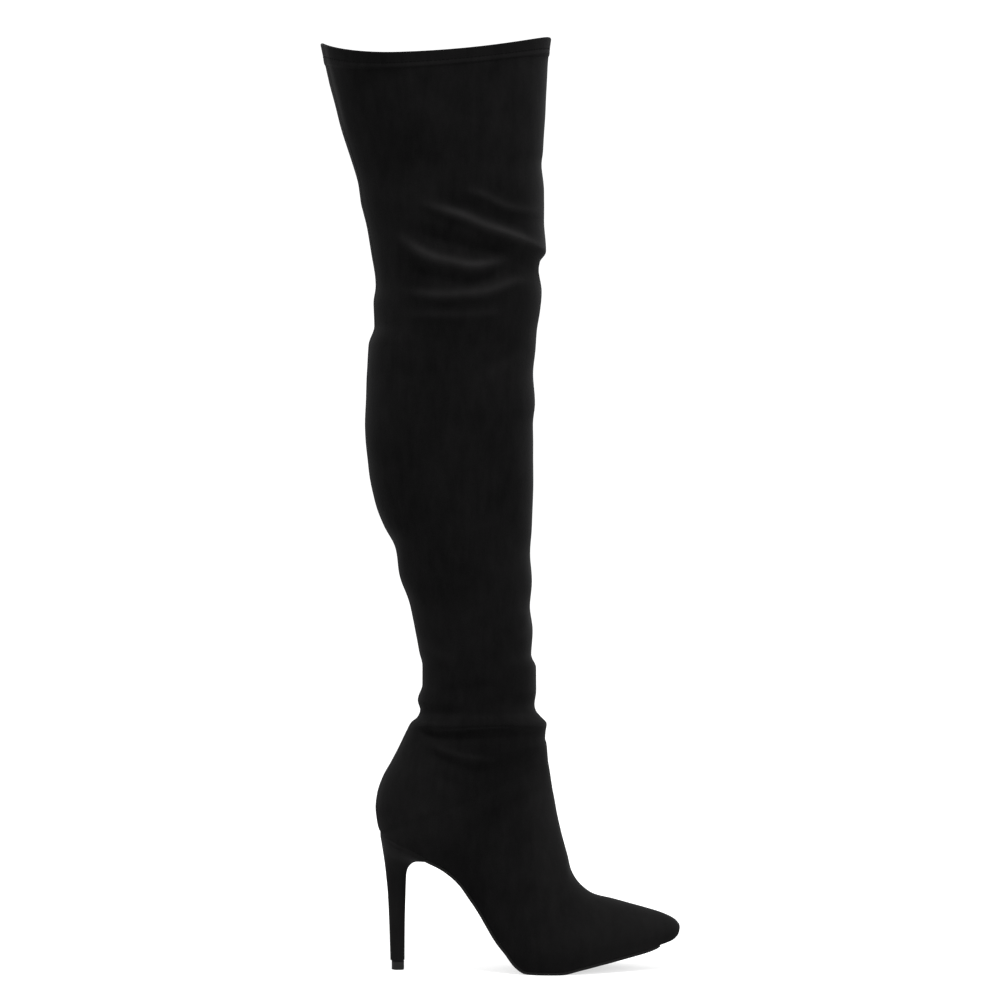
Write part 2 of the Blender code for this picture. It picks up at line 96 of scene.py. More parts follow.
# Leg slices from the collar down to the roll over the ankle. Rises are shares of the shaft
# height over the seat, back and front are shares of the flare past the ankle's half depth,
# outer and inner are shares of the flare in width, and sag is a share of the collar's dip and
# of how far its widest place lies behind the middle.
Leg = namedtuple("Leg", "back back_rise front front_rise outer inner sag")
LEG = (
    Leg(0.869, 0.993, 0.143, 1.000, 1.00, 1.00, 1.0),
    Leg(0.81, 0.954, 0.115, 0.967, 0.98, 0.98, 0.7),
    Leg(0.709, 0.897, 0.098, 0.910, 0.95, 0.94, 0.3),
    Leg(0.60, 0.847, 0.074, 0.857, 0.91, 0.90, 0.0),
    Leg(0.541, 0.816, 0.060, 0.839, 0.88, 0.87, 0.0),
    Leg(0.531, 0.804, 0.081, 0.806, 0.87, 0.86, 0.0),
    Leg(0.52, 0.792, 0.08, 0.770, 0.86, 0.85, 0.0),
    Leg(0.495, 0.778, 0.10, 0.731, 0.84, 0.83, 0.0),
    Leg(0.466, 0.762, 0.047, 0.718, 0.80, 0.79, 0.0),
    Leg(0.425, 0.732, 0.036, 0.707, 0.76, 0.76, 0.0),
    Leg(0.385, 0.688, 0.06, 0.680, 0.73, 0.74, 0.0),
    Leg(0.406, 0.665, 0.042, 0.654, 0.68, 0.70, 0.0),
    Leg(0.398, 0.637, 0.02, 0.632, 0.64, 0.67, 0.0),
    Leg(0.449, 0.613, 0.004, 0.606, 0.61, 0.66, 0.0),
    Leg(0.462, 0.575, -0.014, 0.575, 0.58, 0.655, 0.0),
    Leg(0.469, 0.540, 0.004, 0.538, 0.56, 0.64, 0.0),
    Leg(0.475, 0.512, -0.013, 0.512, 0.55, 0.63, 0.0),
    Leg(0.449, 0.461, -0.01, 0.461, 0.50, 0.58, 0.0),
    Leg(0.395, 0.417, -0.018, 0.417, 0.44, 0.51, 0.0),
    Leg(0.314, 0.385, -0.025, 0.381, 0.37, 0.43, 0.0),
    Leg(0.214, 0.356, -0.04, 0.346, 0.30, 0.34, 0.0),
    Leg(0.177, 0.322, -0.027, 0.316, 0.25, 0.27, 0.0),
    Leg(0.084, 0.284, -0.044, 0.284, 0.19, 0.20, 0.0),
    Leg(0.025, 0.240, -0.021, 0.252, 0.12, 0.12, 0.0),
    Leg(0.002, 0.224, -0.030, 0.222, 0.095, 0.09, 0.0),
    Leg(-0.024, 0.208, 0.015, 0.205, 0.07, 0.06, 0.0),
    Leg(-0.025, 0.184, 0.015, 0.177, 0.03, 0.02, 0.0),
    Leg(0.016, 0.164, 0.00, 0.159, 0.00, -0.01, 0.0),
    Leg(-0.005, 0.152, 0.01, 0.1515, 0.00, 0.00, 0.0),
    Leg(0.020, 0.143, 0.05, 0.144, 0.08, 0.06, 0.0),
    Leg(0.076, 0.136, 0.105, 0.134, 0.12, 0.10, 0.0),
    Leg(0.115, 0.126, 0.095, 0.124, 0.00, 0.00, 0.0),
)
LEG_AT = 0.332

# Slices that turn down the back of the heel. Places are shares of the foot length from the
# back of the counter, rises are shares of the ankle's rise over the seat, widths are shares
# of the ankle's width, and low is where along the slice it is widest.
Heel = namedtuple("Heel", "back back_rise front front_rise outer inner low")
COUNTER = (
    Heel(0.078, 0.932, 0.556, 0.995, 0.50, 0.49, 0.50),
    Heel(0.050, 0.753, 0.560, 0.945, 0.495, 0.48, 0.49),
    Heel(0.020, 0.575, 0.562, 0.905, 0.485, 0.47, 0.47),
    Heel(0.002, 0.397, 0.563, 0.865, 0.475, 0.46, 0.45),
    Heel(-0.003, 0.250, 0.564, 0.825, 0.470, 0.455, 0.43),
    Heel(0.001, 0.120, 0.565, 0.785, 0.465, 0.45, 0.42),
    Heel(0.010, 0.000, 0.566, 0.745, 0.46, 0.445, 0.40),
)

# Slices that stand on the sole, from the seat to the toe. Places are shares of the foot
# length, rise is a share of the heel height, spring of the toe's rise, top runs from 0 at
# the toe's tip to 1 at the ankle, and bulges are shares of the ball width past the feather
# line. Low is where up the slice it is widest, crown how round its top is.
Sole = namedtuple("Sole", "at rise spring top_at top outer inner low crown")
FOOT = (
    Sole(0.026, 0.970, 0.0, 0.567, 0.868, 0.255, 0.245, 0.40, 2.0),
    Sole(0.050, 0.949, 0.0, 0.569, 0.850, 0.165, 0.155, 0.39, 2.0),
    Sole(0.084, 0.912, 0.0, 0.571, 0.832, 0.108, 0.105, 0.38, 2.0),
    Sole(0.125, 0.868, 0.0, 0.573, 0.812, 0.096, 0.098, 0.37, 2.0),
    Sole(0.165, 0.812, 0.0, 0.575, 0.788, 0.108, 0.110, 0.36, 1.95),
    Sole(0.215, 0.756, 0.0, 0.578, 0.758, 0.112, 0.118, 0.36, 1.9),
    Sole(0.253, 0.697, 0.0, 0.581, 0.728, 0.112, 0.122, 0.36, 1.9),
    Sole(0.283, 0.632, 0.0, 0.585, 0.697, 0.110, 0.115, 0.36, 1.85),
    Sole(0.312, 0.540, 0.0, 0.589, 0.662, 0.105, 0.115, 0.36, 1.85),
    Sole(0.344, 0.435, 0.0, 0.593, 0.624, 0.100, 0.110, 0.35, 1.85),
    Sole(0.373, 0.322, 0.0, 0.598, 0.585, 0.095, 0.100, 0.34, 1.85),
    Sole(0.402, 0.215, 0.0, 0.604, 0.543, 0.090, 0.090, 0.33, 1.85),
    Sole(0.433, 0.130, 0.0, 0.611, 0.497, 0.085, 0.080, 0.32, 1.85),
    Sole(0.462, 0.046, 0.0, 0.620, 0.444, 0.080, 0.070, 0.31, 1.85),
    Sole(0.493, 0.004, 0.0, 0.630, 0.387, 0.070, 0.065, 0.30, 1.85),
    Sole(0.548, 0.000, 0.0, 0.641, 0.315, 0.060, 0.060, 0.29, 1.9),
    Sole(0.603, 0.000, 0.0, 0.667, 0.246, 0.058, 0.058, 0.29, 1.9),
    Sole(0.670, 0.000, 0.100, 0.718, 0.185, 0.055, 0.055, 0.30, 1.95),
    Sole(0.742, 0.000, 0.215, 0.777, 0.161, 0.050, 0.050, 0.31, 2.0),
    Sole(0.812, 0.000, 0.325, 0.837, 0.134, 0.044, 0.044, 0.32, 2.0),
    Sole(0.874, 0.000, 0.430, 0.891, 0.110, 0.038, 0.038, 0.34, 2.0),
    Sole(0.920, 0.000, 0.525, 0.933, 0.090, 0.032, 0.032, 0.36, 2.0),
    Sole(0.955, 0.000, 0.610, 0.965, 0.069, 0.026, 0.026, 0.38, 2.0),
    Sole(0.978, 0.000, 0.680, 0.985, 0.050, 0.020, 0.020, 0.42, 2.0),
    Sole(0.990, 0.000, 0.750, 0.996, 0.031, 0.014, 0.014, 0.46, 2.0),
)

# Feather line seen from below: half widths are a share of the seat's width plus a share of
# the ball's, and swing carries the middle of the sole inwards, in shares of the ball width.
Edge = namedtuple("Edge", "at outer_seat outer_ball inner_seat inner_ball swing")
OUTLINE = (
    Edge(0.000, 0.50, 0.00, 0.50, 0.00, 0.00),
    Edge(0.110, 0.50, 0.00, 0.49, 0.00, 0.00),
    Edge(0.165, 0.46, 0.00, 0.43, 0.00, 0.00),
    Edge(0.280, 0.30, 0.10, 0.20, 0.11, -0.01),
    Edge(0.400, 0.10, 0.25, 0.05, 0.24, -0.02),
    Edge(0.500, 0.00, 0.40, 0.00, 0.37, -0.02),
    Edge(0.580, 0.00, 0.435, 0.00, 0.43, -0.01),
    Edge(0.650, 0.00, 0.42, 0.00, 0.425, 0.005),
    Edge(0.740, 0.00, 0.355, 0.00, 0.36, 0.025),
    Edge(0.830, 0.00, 0.265, 0.00, 0.265, 0.045),
    Edge(0.910, 0.00, 0.185, 0.00, 0.180, 0.055),
    Edge(1.000, 0.00, 0.115, 0.00, 0.110, 0.060),
)
SEAT_AT = 0.012
BREAST_AT = 0.165
HEEL_ROUND = 0.095
TOE_ROUND = 0.045

Slice = namedtuple("Slice", "back_x back_z front_x front_z outer inner low crown sag")


def foot_x(share):
    return share * FOOT_LENGTH - HEEL_SET


def smooth_table(places, columns):
    """Return a function that runs a smooth line without overshoot through every column."""
    gaps = [b - a for a, b in zip(places, places[1:])]
    runs = []
    for values in columns:
        slopes = [(b - a) / gap for a, b, gap in zip(values, values[1:], gaps)]
        tangents = [slopes[0]]
        for left, right in zip(slopes, slopes[1:]):
            tangents.append(2 * left * right / (left + right) if left * right > 0 else 0.0)
        tangents.append(slopes[-1])
        runs.append((values, tangents))

    def at(place):
        last = len(gaps) - 1
        i = next((k for k in range(last) if place < places[k + 1]), last)
        u = min(max((place - places[i]) / gaps[i], 0.0), 1.0)
        on = u * u * (3 - 2 * u)
        lead = u * (1 - u) ** 2 * gaps[i]
        trail = u * u * (u - 1) * gaps[i]
        return [v[i] + (v[i + 1] - v[i]) * on + m[i] * lead + m[i + 1] * trail for v, m in runs]

    return at


OUTLINE_AT = smooth_table([row.at for row in OUTLINE], list(zip(*OUTLINE))[1:])


def sole_middle(x):
    """Sideways place of the middle of the sole."""
    return OUTLINE_AT((x + HEEL_SET) / FOOT_LENGTH)[4] * BALL_WIDTH


def sole_half(x, outer, inset=0.0, toe_gap=0.0):
    """Half width of the feather line at x on one side, drawn in by an inset."""
    row = OUTLINE_AT((x + HEEL_SET) / FOOT_LENGTH)
    seat, ball = row[:2] if outer else row[2:4]
    half = max(seat * SEAT_WIDTH + ball * BALL_WIDTH - inset, 0.0)
    from_heel = (x - foot_x(SEAT_AT) - inset) / (HEEL_ROUND * FOOT_LENGTH)
    from_toe = (foot_x(1.0) - toe_gap - inset - x) / (TOE_ROUND * FOOT_LENGTH)
    for reach in (from_heel, from_toe):
        reach = min(max(reach, 0.0), 1.0)
        half *= (1 - (1 - reach) ** 2) ** 0.5
    return half


def sole_height(rise, spring):
    return SOLE_STACK + rise * (HEEL_HEIGHT - SOLE_STACK) + spring * TOE_RISE


def leg_slices():
    leg_x = foot_x(LEG_AT)
    flare = THIGH_DEPTH - ANKLE_DEPTH
    spread = THIGH_WIDTH - ANKLE_WIDTH
    for row in LEG:
        yield Slice(
            leg_x - ANKLE_DEPTH / 2 - row.back * flare,
            HEEL_HEIGHT + row.back_rise * SHAFT_HEIGHT,
            leg_x + ANKLE_DEPTH / 2 + row.front * flare,
            HEEL_HEIGHT + row.front_rise * SHAFT_HEIGHT,
            (ANKLE_WIDTH + row.outer * spread) / 2,
            (ANKLE_WIDTH + row.inner * spread) / 2,
            0.5 - row.sag * COLLAR_LEAN,
            2.0,
            row.sag * COLLAR_DIP,
        )


def counter_slices():
    for row in COUNTER:
        yield Slice(
            foot_x(row.back),
            HEEL_HEIGHT + row.back_rise * ANKLE_RISE,
            foot_x(row.front),
            HEEL_HEIGHT + row.front_rise * ANKLE_RISE,
            row.outer * ANKLE_WIDTH,
            row.inner * ANKLE_WIDTH,
            row.low,
            2.0,
            0.0,
        )


def foot_slices():
    for row in FOOT:
        x = foot_x(row.at)
        yield Slice(
            x,
            sole_height(row.rise, row.spring),
            foot_x(row.top_at),
            TOE_RISE + row.top * (ANKLE_TOP - TOE_RISE),
            sole_half(x, True) + row.outer * BALL_WIDTH,
            sole_half(x, False) + row.inner * BALL_WIDTH,
            row.low,
            row.crown,
            0.0,
        )


SLICES = [*leg_slices(), *counter_slices(), *foot_slices()]
CORNER = len(LEG) + len(COUNTER) - 1


def slice_places():
    """Distance down the boot to each slice, between its back and its front."""
    places = [0.0]
    for a, b in zip(SLICES, SLICES[1:]):
        back = hypot(b.back_x - a.back_x, b.back_z - a.back_z)
        front = hypot(b.front_x - a.front_x, b.front_z - a.front_z)
        places.append(places[-1] + (back + front) / 2)
    return places


PLACES = slice_places()
SLICE_AT = smooth_table(PLACES, list(zip(*SLICES)))

# The mesh's columns on one side, below and above its widest place and under the foot, and the
# rows over the collar's rim. The lining has every third row of the cloth.
LOW_COLUMNS = 32
HIGH_COLUMNS = 40
MARGIN_COLUMNS = 2
RIM_ROWS = 6
LINING_ROW = 3
RIM_SQUARE = 0.6

# The collar's dip: where it is lowest, how full it is behind and ahead of there, and how softly
# it starts at its two ends.
SAG_AT = 0.36
SAG_BEHIND = 0.65
SAG_AHEAD = 0.83
SAG_SOFT = 0.03


def collar_sag(share):
    """How much of its whole dip the collar has at a share of the way from back to front."""
    reach = SAG_AT if share < SAG_AT else 1 - SAG_AT
    depth = max(1 - ((share - SAG_AT) / reach) ** 2, 0.0)
    power = SAG_BEHIND if share < SAG_AT else SAG_AHEAD
    return depth ** power * depth / (depth + SAG_SOFT)


def ease(value, start, end):
    """0 up to the start, 1 from the end on, and smooth between them."""
    share = min(max((value - start) / (end - start), 0.0), 1.0)
    return share * share * (3 - 2 * share)


def ring_points(cut, on_sole, proud):
    """Points round one slice, from the lasting margin up the outer side and down the inner."""
    back = Vector((cut.back_x - proud, 0, cut.back_z))
    run = Vector((cut.front_x + proud, 0, cut.front_z)) - back
    middle = sole_middle(cut.back_x) if on_sole else 0.0
    points = []
    for outer in (True, False):
        wide = (cut.outer if outer else cut.inner) + proud
        edge = sole_half(cut.back_x, outer) if on_sole else 0.0
        lasted = LASTING_MARGIN + TOE_LASTING * ease(cut.back_x, *TOE_LASTED)
        margin = sole_half(cut.back_x, outer, lasted) if on_sole else 0.0
        steps = range(MARGIN_COLUMNS)
        side = [(0.0, margin + (edge - margin) * k / MARGIN_COLUMNS) for k in steps]
        steep = edge / wide
        for k in range(LOW_COLUMNS + 1):
            turn = k / LOW_COLUMNS * pi / 2
            along = (1 - steep) * (1 - cos(turn)) + steep * k / LOW_COLUMNS
            side.append((cut.low * along, edge + (wide - edge) * sin(turn)))
        for k in range(1, HIGH_COLUMNS + 1):
            turn = k / HIGH_COLUMNS * pi / 2
            along = sin(turn) ** (2 / cut.crown)
            across = max(cos(turn), 0.0) ** (2 / cut.crown)
            side.append((cut.low + (1 - cut.low) * along, wide * across))
        way = -1 if outer else 1
        line = []
        for share, across in side:
            drop = cut.sag * collar_sag(share)
            line.append(back + run * share + Vector((0, middle + way * across, -drop)))
        points += line if outer else line[-2::-1]
    return points


# Stretches of the boot, in shares of the whole way from collar to toe, and the distance
# between rings in each: close where the cloth folds, wide where it hangs smooth.
Stretch = namedtuple("Stretch", "end spacing")
STRETCHES = (
    Stretch(0.13, 0.0035),
    Stretch(0.31, 0.0019),
    Stretch(0.47, 0.0040),
    Stretch(0.60, 0.0030),
    Stretch(0.72, 0.0014),
    Stretch(0.80, 0.0024),
    Stretch(0.97, 0.0024),
    Stretch(1.00, 0.0010),
)

# Rows of the turned hem as shares of its height, close together at its two edges, and the
# share where the stretches start.
HEM_ROWS = (
    0.075, 0.10, 0.15, 0.26, 0.42, 0.56, 0.64, 0.70, 0.76, 0.82, 0.87, 0.91, 0.94, 0.97, 1.0, 1.03,
    1.07,
)
HEM_PAST = 1.15


def ring_places():
    """Distances down the boot at which a ring of points goes round it."""
    whole = PLACES[-1]
    places = [share * HEM_HEIGHT for share in HEM_ROWS]
    place = HEM_HEIGHT * HEM_PAST
    for stretch in STRETCHES:
        while place < stretch.end * whole:
            places.append(place)
            place += stretch.spacing
    return sorted(places + [PLACES[CORNER], whole])


def hem_proud(place):
    """How far the turned hem stands off the leg: half its step, and all of it in the welt."""
    flat = 1 - ease(place, HEM_HEIGHT - WELT / 4, HEM_HEIGHT + WELT / 8)
    return HEM_STEP * (0.5 + ease(place, HEM_HEIGHT - WELT, HEM_HEIGHT - WELT / 2) / 2) * flat


MERGE = 1e-6


def margins_meet(skin):
    """Rows where the lasting margins of the two sides touch under the foot."""
    return np.linalg.norm(skin[:, 0] - skin[:, -1], axis=1) < MERGE


def grid_normals(grid, merged_rows, merged_columns):
    """Outward directions at the points of a grid, shared where its points coincide."""
    across = grid[1:, 1:] - grid[:-1, :-1]
    down = grid[1:, :-1] - grid[:-1, 1:]
    faces = np.cross(down, across)
    normals = np.zeros_like(grid)
    for rows in (slice(None, -1), slice(1, None)):
        for columns in (slice(None, -1), slice(1, None)):
            normals[rows, columns] += faces
    shared = normals[:merged_rows, merged_columns].sum(axis=1, keepdims=True)
    normals[:merged_rows, merged_columns] = shared
    met = margins_meet(grid)
    met[:merged_rows] = False
    normals[met, 0] = normals[met, -1] = normals[met, 0] + normals[met, -1]
    normals[-1] = normals[-2:].sum(axis=(0, 1))
    length = np.linalg.norm(normals, axis=2, keepdims=True)
    return normals / np.maximum(length, 1e-12)


# Folds that the slack cloth hangs in, as lines on the boot's side. A place on a line is in
# ankle depths forward of the leg's middle, and in shaft heights over the seat. Lift is how far
# the cloth stands out, or in where it is below zero, above and below are how far the fold
# spreads, and outer and inner are how strong it is on each side of the leg. The lift also sets
# the rub and painted highlight on a fold's crest, and the painted shade in a hollow.
Fold = namedtuple("Fold", "line lift above below outer inner")
FOLDS = (
    # Folds that fan out from the back of the knee and meet over it in front
    Fold(
        ((-0.16, 0.803), (0.06, 0.7936), (0.18, 0.785), (0.32, 0.779), (0.66, 0.776)),
        0.0014, 0.0040, 0.0040, 1.0, 0.8,
    ),
    Fold(
        ((-0.54, 0.789), (-0.31, 0.776), (-0.12, 0.767), (0.06, 0.7555), (0.26, 0.7465),
         (0.42, 0.739), (0.66, 0.730)),
        0.0030, 0.0050, 0.0042, 1.0, 0.9,
    ),
    Fold(
        ((-0.78, 0.753), (-0.60, 0.738), (-0.48, 0.725), (-0.36, 0.716), (-0.19, 0.7105),
         (-0.03, 0.706), (0.15, 0.711), (0.32, 0.723)),
        0.0028, 0.0050, 0.0045, 1.0, 0.9,
    ),
    Fold(
        ((-0.72, 0.680), (-0.50, 0.6735), (-0.31, 0.6703), (-0.12, 0.6714), (0.05, 0.674),
         (0.20, 0.681), (0.34, 0.690), (0.52, 0.690)),
        0.0022, 0.0048, 0.0048, 1.0, 0.8,
    ),
    Fold(
        ((-0.66, 0.649), (-0.30, 0.646), (0.03, 0.647), (0.26, 0.653)),
        0.0008, 0.0045, 0.0045, 1.0, 0.7,
    ),
    # Sharper crests, and spots along them lightened as rubbed nap and painted highlight
    Fold(
        ((0.08, 0.7545), (0.26, 0.7465), (0.40, 0.7400), (0.60, 0.7320)),
        0.0009, 0.0027, 0.0024, 1.0, 0.4,
    ),
    Fold(((-0.54, 0.7310), (-0.42, 0.7225), (-0.30, 0.7150)), 0.0006, 0.0040, 0.0040, 1.0, 0.3),
    Fold(((-0.13, 0.7095), (-0.02, 0.7075), (0.11, 0.7100)), 0.0005, 0.0040, 0.0040, 1.0, 0.3),
    # Hollows between them, darkened a little by painted shade
    Fold(
        ((-0.31, 0.788), (-0.06, 0.776), (0.20, 0.763), (0.48, 0.756)),
        -0.0012, 0.0060, 0.0050, 1.0, 0.8,
    ),
    Fold(
        ((-0.62, 0.762), (-0.40, 0.745), (-0.14, 0.733), (0.11, 0.729), (0.34, 0.7285)),
        -0.0020, 0.0060, 0.0050, 1.0, 0.9,
    ),
    Fold(
        ((-0.72, 0.722), (-0.53, 0.706), (-0.31, 0.6945), (-0.06, 0.689), (0.16, 0.696),
         (0.36, 0.711)),
        -0.0018, 0.0050, 0.0060, 1.0, 0.9,
    ),
    # Small swells over the calf and the shin
    Fold(
        ((0.04, 0.570), (0.24, 0.586), (0.44, 0.606)),
        0.0005, 0.0050, 0.0080, 1.0, 0.5,
    ),
    Fold(
        ((0.36, 0.236), (0.42, 0.2562), (0.45, 0.280)),
        0.0010, 0.0050, 0.0050, 1.0, 0.8,
    ),
    Fold(
        ((-0.50, 0.244), (-0.32, 0.2234), (-0.16, 0.217)),
        0.0008, 0.0060, 0.0060, 1.0, 0.8,
    ),
    # Arched hollow over the ankle's roll, the sharp crease under it, and what trails from it
    Fold(
        ((-0.27, 0.170), (-0.18, 0.179), (-0.06, 0.182), (0.05, 0.1855), (0.16, 0.182),
         (0.24, 0.170)),
        -0.0010, 0.0055, 0.0065, 1.0, 0.8,
    ),
    Fold(
        ((-0.60, 0.134), (-0.50, 0.1295), (-0.39, 0.1247), (-0.26, 0.1241), (-0.13, 0.1256),
         (0.02, 0.1282), (0.20, 0.1294), (0.36, 0.130), (0.60, 0.128)),
        -0.0023, 0.0034, 0.0052, 1.0, 0.9,
    ),
    Fold(
        ((-0.40, 0.113), (-0.28, 0.1055), (-0.13, 0.0985), (0.03, 0.095), (0.22, 0.093)),
        0.0008, 0.0036, 0.0034, 1.0, 0.7,
    ),
    Fold(
        ((-0.46, 0.112), (-0.39, 0.1026), (-0.32, 0.0967), (-0.23, 0.0915), (-0.13, 0.0870),
         (0.02, 0.0825), (0.30, 0.077)),
        -0.0013, 0.0032, 0.0055, 1.0, 0.7,
    ),
    Fold(
        ((-0.36, 0.0760), (-0.20, 0.0645), (-0.08, 0.0570)),
        -0.0006, 0.0036, 0.0050, 1.0, 0.6,
    ),
)

# The inner side has the same folds, moved back and down. A fold fades over its two ends, and
# where the leg turns away from the side it keeps the edge share. Its crest is rubbed lighter and
# given a painted highlight, and a hollow is given a little painted shade.
LINE_STEPS = 8
SIDE_BLEND = 0.012
INNER_SHIFT = (0.011, 0.009)
EDGE_SHARE = 0.35
FACING_FULL = 0.5
FADE = 0.27
FULL_LIFT = 0.003
CREST = 0.75
HOLLOW = 0.12


def smooth_line(points):
    """A closely stepped curve through a fold's places, in metres in the side view."""
    middle = foot_x(LEG_AT)
    knots = [(middle + a * ANKLE_DEPTH, HEEL_HEIGHT + r * SHAFT_HEIGHT) for a, r in points]
    knots = [np.array(knot) for knot in knots]
    knots = [2 * knots[0] - knots[1], *knots, 2 * knots[-1] - knots[-2]]
    line = []
    for a, b, c, d in zip(knots, knots[1:], knots[2:], knots[3:]):
        for k in range(LINE_STEPS):
            t = k / LINE_STEPS
            line.append(
                b + (c - a) * t / 2 + (2 * a - 5 * b + 4 * c - d) * t * t / 2
                + (3 * b - a - 3 * c + d) * t ** 3 / 2
            )
    return np.array([*line, knots[-2]])


def fold_relief(fold, grid):
    """How far one fold moves each point of the grid outwards, and its rub and painted light."""
    line = smooth_line(fold.line)
    side = 0.5 - 0.5 * np.tanh(grid[..., 1] / SIDE_BLEND)
    places = grid[..., (0, 2)] + (1 - side)[..., None] * np.array(INNER_SHIFT)
    nearest = np.full(places.shape[:2], 1.0)
    share = np.zeros(places.shape[:2])
    over = np.zeros(places.shape[:2])
    for k, (start, end) in enumerate(zip(line, line[1:])):
        step = end - start
        t = np.clip(((places - start) @ step) / (step @ step), 0, 1)
        offset = places - (start + t[..., None] * step)
        distance = np.linalg.norm(offset, axis=2)
        closer = distance < nearest
        nearest = np.where(closer, distance, nearest)
        share = np.where(closer, (k + t) / (len(line) - 1), share)
        over = np.where(closer, offset[..., 1], over)
    spread = np.where(over > 0, fold.above, fold.below)
    ends = np.clip(np.minimum(share, 1 - share) / FADE, 0, 1)
    strength = (fold.outer * side + fold.inner * (1 - side)) * ends * ends * (3 - 2 * ends)
    moved = fold.lift * strength * np.exp(-((nearest / spread) ** 2))
    # Painted light: rub and painted highlight on a crest, a little painted shade in a hollow
    worn = fold.lift / FULL_LIFT * strength * np.exp(-((nearest / (CREST * spread)) ** 2))
    return moved, worn if fold.lift > 0 else worn * HOLLOW


# Patches of painted light on the heel counter, the instep and the toe, where the lasted suede
# faces the light: the middle and the reach in metres forward and up, and how much lighter.
LitPatch = namedtuple("LitPatch", "x z reach_x reach_z amount")
LIT_PATCHES = (
    LitPatch(0.006, 0.128, 0.038, 0.040, 0.30),
    LitPatch(0.121, 0.118, 0.018, 0.060, 0.45),
    LitPatch(0.205, 0.034, 0.070, 0.040, 0.50),
)


def lit_patch(spot, grid):
    forward = (grid[..., 0] - spot.x) / spot.reach_x
    up = (grid[..., 2] - spot.z) / spot.reach_z
    return spot.amount * np.exp(-forward ** 2 - up ** 2)


SLACK = 0.0006
SLACK_SIZE = 0.045
SLACK_WAVES = (1.0, 2.0, 2)
SLACK_FROM = 0.16
SLACK_FULL = 0.26
SLACK_ON_FOOT = 0.15


def slack_relief(grid):
    """Low, wide unevenness of the hanging cloth, most of which ends over the lasted foot."""
    waves = [noise.fractal(Vector(p) / SLACK_SIZE, *SLACK_WAVES) for p in grid.reshape(-1, 3)]
    amount = np.clip((grid[..., 2] - SLACK_FROM) / (SLACK_FULL - SLACK_FROM), SLACK_ON_FOOT, 1)
    return SLACK * amount * np.array(waves).reshape(grid.shape[:2])


# The toe's tip is closed by a dome, from an eighth of a turn on. The hem is calmer than the
# leg, to a little below its edge, and has a painted highlight in the middle of its welt.
TOE_RINGS = 6
DOME_FROM = pi / 4
HEM_CALM_TO = 1.6
HEM_CALM = 0.3
WELT_HIGHLIGHT = 0.16
WELT_MIDDLE = 0.45
WELT_REACH = 0.5

# Outer face, ring by ring down the boot, and the dome over the toe's tip
places = ring_places()
corner_row = places.index(PLACES[CORNER]) + 1
outer_skin = np.array(
    [
        ring_points(Slice(*SLICE_AT(place)), place > PLACES[CORNER], hem_proud(place))
        for place in places
    ]
)
tip = np.array((foot_x(1.0), sole_middle(foot_x(1.0)), TOE_RISE))
last = outer_skin[-1]
middle = (last.min(axis=0) + last.max(axis=0)) / 2
dome = []
for k in range(1, TOE_RINGS + 1):
    turn = DOME_FROM * (1 + k / TOE_RINGS)
    ahead = (sin(turn) - sin(DOME_FROM)) / (1 - sin(DOME_FROM))
    dome.append(middle + (last - middle) * cos(turn) / cos(DOME_FROM) + (tip - middle) * ahead)
outer_skin = np.vstack([outer_skin, dome])
columns = outer_skin.shape[1]
back_columns = [*range(MARGIN_COLUMNS + 1), *range(columns - MARGIN_COLUMNS - 1, columns)]

# Folds, slack, rub and painted light: no relief under the foot, and one height along the back seam
outward = grid_normals(outer_skin, corner_row, back_columns)
relief, rub_and_light = np.sum([fold_relief(fold, outer_skin) for fold in FOLDS], axis=0)
facing = np.clip(np.abs(outward[..., 1]) / FACING_FULL, 0, 1)
relief *= EDGE_SHARE + (1 - EDGE_SHARE) * facing * facing * (3 - 2 * facing)
relief += slack_relief(outer_skin)
downs = np.array(places + [PLACES[-1]] * TOE_RINGS)
relief[downs <= HEM_HEIGHT * HEM_CALM_TO] *= HEM_CALM
# Painted light on the lit patches of the foot
rub_and_light += sum(lit_patch(spot, outer_skin) for spot in LIT_PATCHES)
# A band of painted highlight along the middle of the welt
from_welt = (downs - HEM_HEIGHT + WELT * WELT_MIDDLE) / (WELT * WELT_REACH)
rub_and_light += WELT_HIGHLIGHT * np.exp(-(from_welt ** 2))[:, None]
relief[corner_row:, back_columns] = 0.0
relief[:corner_row, back_columns] = relief[:corner_row, back_columns].mean(axis=1, keepdims=True)

# Inner face, and the rim that joins the two over the collar
outer_skin = outer_skin + outward * relief[..., None]
thick = np.array([WALL + hem_proud(place) for place in downs])[:, None, None]
inner_skin = outer_skin - outward * thick
outward = grid_normals(outer_skin, corner_row, back_columns)
kept_rows = [i for i in range(len(inner_skin)) if i >= corner_row - 1 or i % LINING_ROW == 0]
lining = inner_skin[kept_rows]
rim = []
for k in range(1, RIM_ROWS):
    turn = k / RIM_ROWS * pi
    across = -cos(turn) * abs(cos(turn)) ** (RIM_SQUARE - 1) * thick[0] / 2
    up = sin(turn) ** RIM_SQUARE * thick[0] / 2
    middle = (outer_skin[0] + inner_skin[0]) / 2
    rim.append(middle + outward[0] * across + np.array((0, 0, 1)) * up)
grid = np.vstack([lining[::-1], rim, outer_skin])
rows = grid.shape[0]
outer_from = rows - outer_skin.shape[0]
inner_to = lining.shape[0]


def girths(skin):
    """Distance round each ring from the back of the leg, by the outer side."""
    steps = np.linalg.norm(np.diff(skin, axis=1), axis=2)
    return np.hstack([np.zeros((skin.shape[0], 1)), np.cumsum(steps, axis=1)])


round_leg = girths(outer_skin)
round_lining, down_lining = round_leg[kept_rows], downs[kept_rows]
round_all = np.vstack([round_lining[::-1], np.tile(round_leg[0], (len(rim), 1)), round_leg])
down_all = np.concatenate([down_lining[::-1], np.zeros(len(rim)), downs])
rub_and_light_all = np.vstack([np.zeros((outer_from, columns)), rub_and_light])

